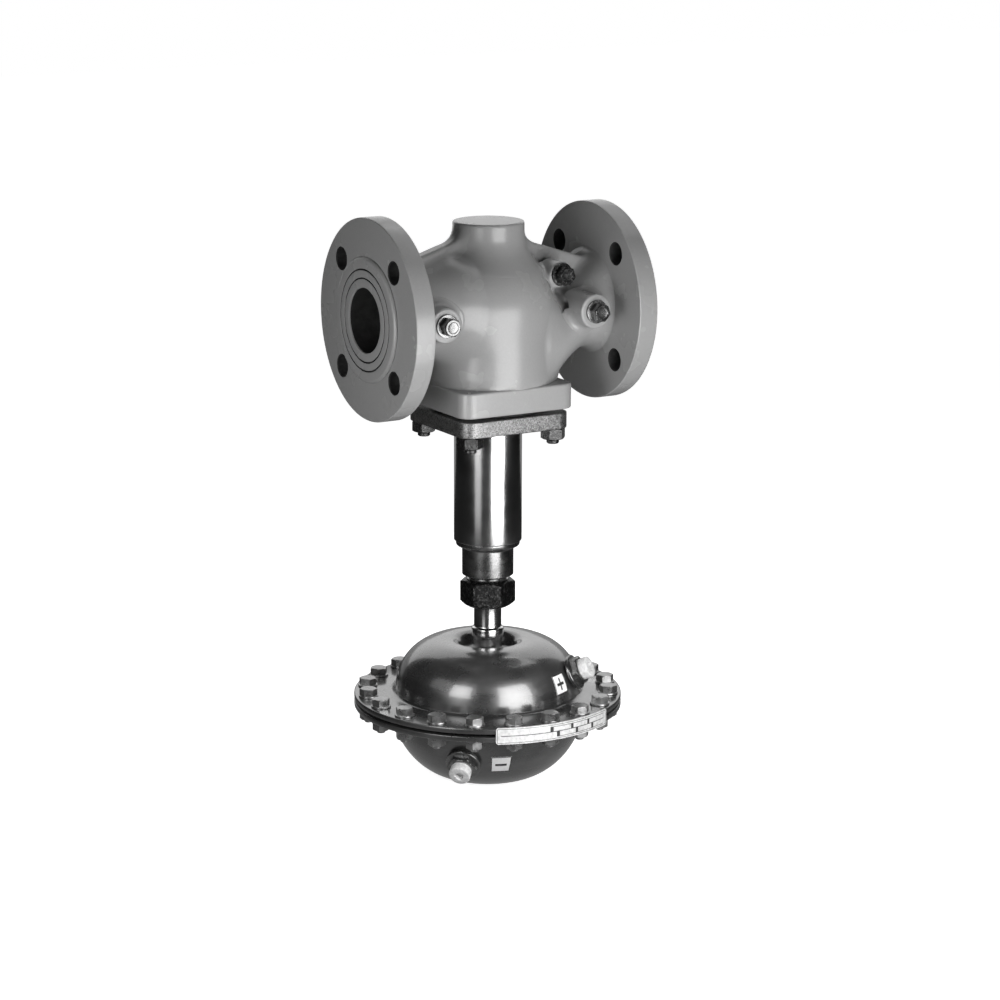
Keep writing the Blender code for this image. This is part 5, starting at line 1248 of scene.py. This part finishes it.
def coil(radius, wire, turns, sides=12, steps=36):
    """A spring's wire as a tube along a coil whose end turns lie nearly flat."""
    turn = np.linspace(0, turns, int(turns * steps) + 1)
    rise = np.clip((turn - FLAT_TURNS) / (turns - 2 * FLAT_TURNS), 0, 1)
    length = SPRING_TOP - SPRING_BOTTOM - 2 * (wire + SPRING_GAP)
    lying = np.minimum(turn, FLAT_TURNS) + np.clip(turn - turns + FLAT_TURNS, 0, None)
    flat = wire * 2.05 * lying / FLAT_TURNS * 0.5
    height = SPRING_BOTTOM + wire + SPRING_GAP + flat + rise * (length - wire * 2.05)
    around = np.arange(sides) * 2 * np.pi / sides
    points = around_z(radius + wire * np.cos(around), 2 * np.pi * turn[:, None],
                      height[:, None] + wire * np.sin(around))
    return sheet(points, first_pole=True, last_pole=True)


spring_steel = machined("spring_wire", (88, 120), (0.28, 0.40))
for spring_name, spring_size in SPRINGS.items():
    spring = build("set_spring_" + spring_name, [coil(*spring_size)], spring_steel,
                   replaced=["set_point_spring_" + spring_name])
    spring.parent = None
    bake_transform(spring)


# Diaphragm
# A rubber disc clamped between the rims. Its middle rides with the stem, and a loose roll round the plates
# lets it. It is laid out in twelve wedges, each a piece of its own.

DIAPHRAGM_CLAMP = -0.33105
DIAPHRAGM_DISC = -0.32605
DIAPHRAGM_BORE = 0.0056
DIAPHRAGM_RADIUS = 0.0960
DIAPHRAGM_HALF = 0.00085
ROLL_INNER = 0.0625
ROLL_OUTER = 0.0750
ROLL_DEPTH = 0.0105
WEDGES = 12


def wedge(start):
    """One wedge of the disc: the middle line of its section, thickened and turned about Z from start on."""
    radius = np.concatenate([np.linspace(DIAPHRAGM_BORE, 0.0600, 14), np.linspace(0.0610, 0.0765, 22),
                             np.linspace(0.0785, DIAPHRAGM_RADIUS, 8)])
    share = np.clip((radius - ROLL_INNER) / (ROLL_OUTER - ROLL_INNER), 0, 1)
    height = DIAPHRAGM_DISC + (DIAPHRAGM_CLAMP - DIAPHRAGM_DISC) * smooth_step(0, 1, share)
    height = height - ROLL_DEPTH * np.sin(np.pi * share) ** 0.8
    upper, lower = (np.column_stack([radius, height + half]) for half in (DIAPHRAGM_HALF, -DIAPHRAGM_HALF))
    profile = np.vstack([upper, lower[::-1]])
    angle = np.radians(start + np.linspace(0, 360 / WEDGES, 9))
    return sheet(around_z(profile[:, :1], angle, profile[:, 1:]), around=False, closed=True)


# Black rubber with its woven backing faintly raised
black_rubber = mottled("diaphragm_rubber", 900.0, 3.0, (34, 52), 0.62, (0.0002, 0.6))
for wedge_number in range(WEDGES):
    wedge_start = 360 / WEDGES * wedge_number
    piece = build(f"diaphragm_wedge_{wedge_number + 1:02d}", [wedge(wedge_start)], black_rubber,
                  replaced=["diaphragm"])
    piece.parent = None
    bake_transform(piece)


# Inner parts kept from the CAD
# Seat, plug, stems, guides and plates are turned parts that already have their real shape. They keep their
# own meshes and take finishes here: steel, blotchy cast bronze, and nearly black pressed fibre.

bronze = mottled("bronze", 140.0, 4.0, (120, 165), 0.38, (0.0001, 0.4), Metallic=1.0)
fibre = mottled("gasket_fibre", 1200.0, 4.0, (18, 42), 0.8, (0.0001, 0.5))
kept = {
    "machined_steel": (turned_steel, [
        "seat_ring", "valve_plug", "plug_stem", "bellows_ring", "stem_coupling", "diaphragm_stem",
        "upper_plate", "lower_plate", "neck_lock_nut", "diaphragm_nut", "spring_seat"]),
    "bearing_bronze": (bronze, ["guide_bush", "stem_guide"]),
    "gasket_fibre": (fibre, ["body_gasket"]),
}
for slot_name, (material, names) in kept.items():
    for node_name in names:
        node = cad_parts[node_name]
        node.data.materials.clear()
        node.data.materials.append(material)


# Studio
# A pale floor and a white room, a large soft box on each side of the camera, dimmer ones to the side, above
# and below, and a screen behind. None of the lamps is seen by the camera. In mirrors the floor is dark but
# for a glowing ring round the object, a painted reflection that lays a light band low on the bowl.

CAMERA_TURN = -30.422
CAMERA_RISE = 13.286
CAMERA_DISTANCE = 2.5553
CAMERA_TARGET = Vector((0.0117, 0.0, -0.16255))
CAMERA_ROLL = 0.162
CAMERA_LENS = 110.28
FLOOR_HEIGHT = -0.3985
FLOOR_HALF = 6
ABOVE_FLOOR = -0.397
BLACK = (0.0, 0.0, 0.0, 1.0)
WHITE = (1.0, 1.0, 1.0, 1.0)
DIM = (0.015, 0.015, 0.015, 1.0)


def direction(turn, rise):
    """A direction from the object, turned about Z from the camera's own and raised, in degrees."""
    turn, rise = math.radians(CAMERA_TURN + turn), math.radians(rise)
    return Vector((math.sin(turn) * math.cos(rise), -math.cos(turn) * math.cos(rise), math.sin(rise)))


def soft_box(name, turn, distance, low, high, wide, radiance, rise=0.0):
    """An upright glowing panel between two heights that faces the object; a rise tips it to look down."""
    light = bpy.data.lights.new(name, "AREA")
    light.shape = "RECTANGLE"
    light.size, light.size_y = wide, high - low
    light.energy = radiance * 4 * wide * (high - low)
    lamp = bpy.data.objects.new(name, light)
    bpy.context.scene.collection.objects.link(lamp)
    way = direction(turn, 0)
    lamp.location = way * distance + Vector((0, 0, (low + high) / 2))
    lamp.rotation_euler = direction(turn, rise).to_track_quat("Z", "Y").to_euler()
    lamp.visible_camera = False


soft_box("box_right", 34, 0.52, ABOVE_FLOOR, 0.07, 0.38, 4.7)
soft_box("box_left", -33, 0.52, -0.20, 0.06, 0.24, 4.2)
soft_box("strip_left", -33, 0.54, ABOVE_FLOOR, -0.21, 0.20, 0.55)
soft_box("box_side", -66, 0.90, -0.02, 0.42, 0.40, 0.5)
soft_box("screen_behind", 180, 0.85, -0.12, 1.00, 1.6, 0.9)
soft_box("screen_low", 180, 0.85, ABOVE_FLOOR, -0.12, 1.6, 0.22)
soft_box("box_above", 150, 0.55, 0.65, 1.25, 0.9, 1.3, 60.0)

floor_mesh = bpy.data.meshes.new("floor")
corners = [(x * FLOOR_HALF, y * FLOOR_HALF, FLOOR_HEIGHT) for x, y in ((-1, -1), (1, -1), (1, 1), (-1, 1))]
floor_mesh.from_pydata(corners, [], [(0, 1, 2, 3)])
floor = bpy.data.objects.new("floor", floor_mesh)
bpy.context.scene.collection.objects.link(floor)
paving = Finish("floor_white_and_reflection_ring")
seen = paving.node("LightPath", {}, {}, "Is Camera Ray")
mirrored = paving.node("LightPath", {}, {}, "Is Glossy Ray")
from_middle = paving.node("VectorMath", {"operation": "LENGTH"}, {0: paving.here()}, "Value")
# Only mirrored rays see this ring glow on the floor: a painted reflection, the light band on the lower bowl
ring = paving.ramp(from_middle, 0.19, 0.30, 0.0, 0.42) * paving.ramp(from_middle, 0.34, 0.52, 1.0, 0.0)
glow_and_painted_reflection = paving.ramp(from_middle, 0.15, 0.50, 0.55, 1.0) * seen + ring * mirrored
floor_mesh.materials.append(paving.set(
    Base_Color=paving.blend(seen, grey(60), grey(220)), Roughness=0.9, Specular_IOR_Level=0.0,
    Emission_Color=paving.blend(glow_and_painted_reflection, BLACK, WHITE), Emission_Strength=1.0))

world = bpy.data.worlds.new("studio")
world.use_nodes = True
bpy.context.scene.world = world
room = Finish("room", world.node_tree)
background = world.node_tree.nodes["Background"]
on_camera = room.node("LightPath", {}, {}, "Is Camera Ray")
room.fill(background.inputs["Color"], room.blend(on_camera, DIM, WHITE))
background.inputs["Strength"].default_value = 1.0

camera_data = bpy.data.cameras.new("camera")
camera_data.lens = CAMERA_LENS
camera_data.sensor_width = 36.0
camera_data.clip_start, camera_data.clip_end = 0.05, 50.0
camera = bpy.data.objects.new("camera", camera_data)
bpy.context.scene.collection.objects.link(camera)
back = direction(0, CAMERA_RISE)
level = direction(90, 0)
upward = back.cross(level)
roll = math.radians(CAMERA_ROLL)
right = level * math.cos(roll) + upward * math.sin(roll)
upward = upward * math.cos(roll) - level * math.sin(roll)
camera.matrix_world = (Matrix.Translation(CAMERA_TARGET + back * CAMERA_DISTANCE)
                       @ Matrix((right, upward, back)).transposed().to_4x4())
bpy.context.scene.camera = camera
bpy.context.scene.view_settings.view_transform = "Standard"
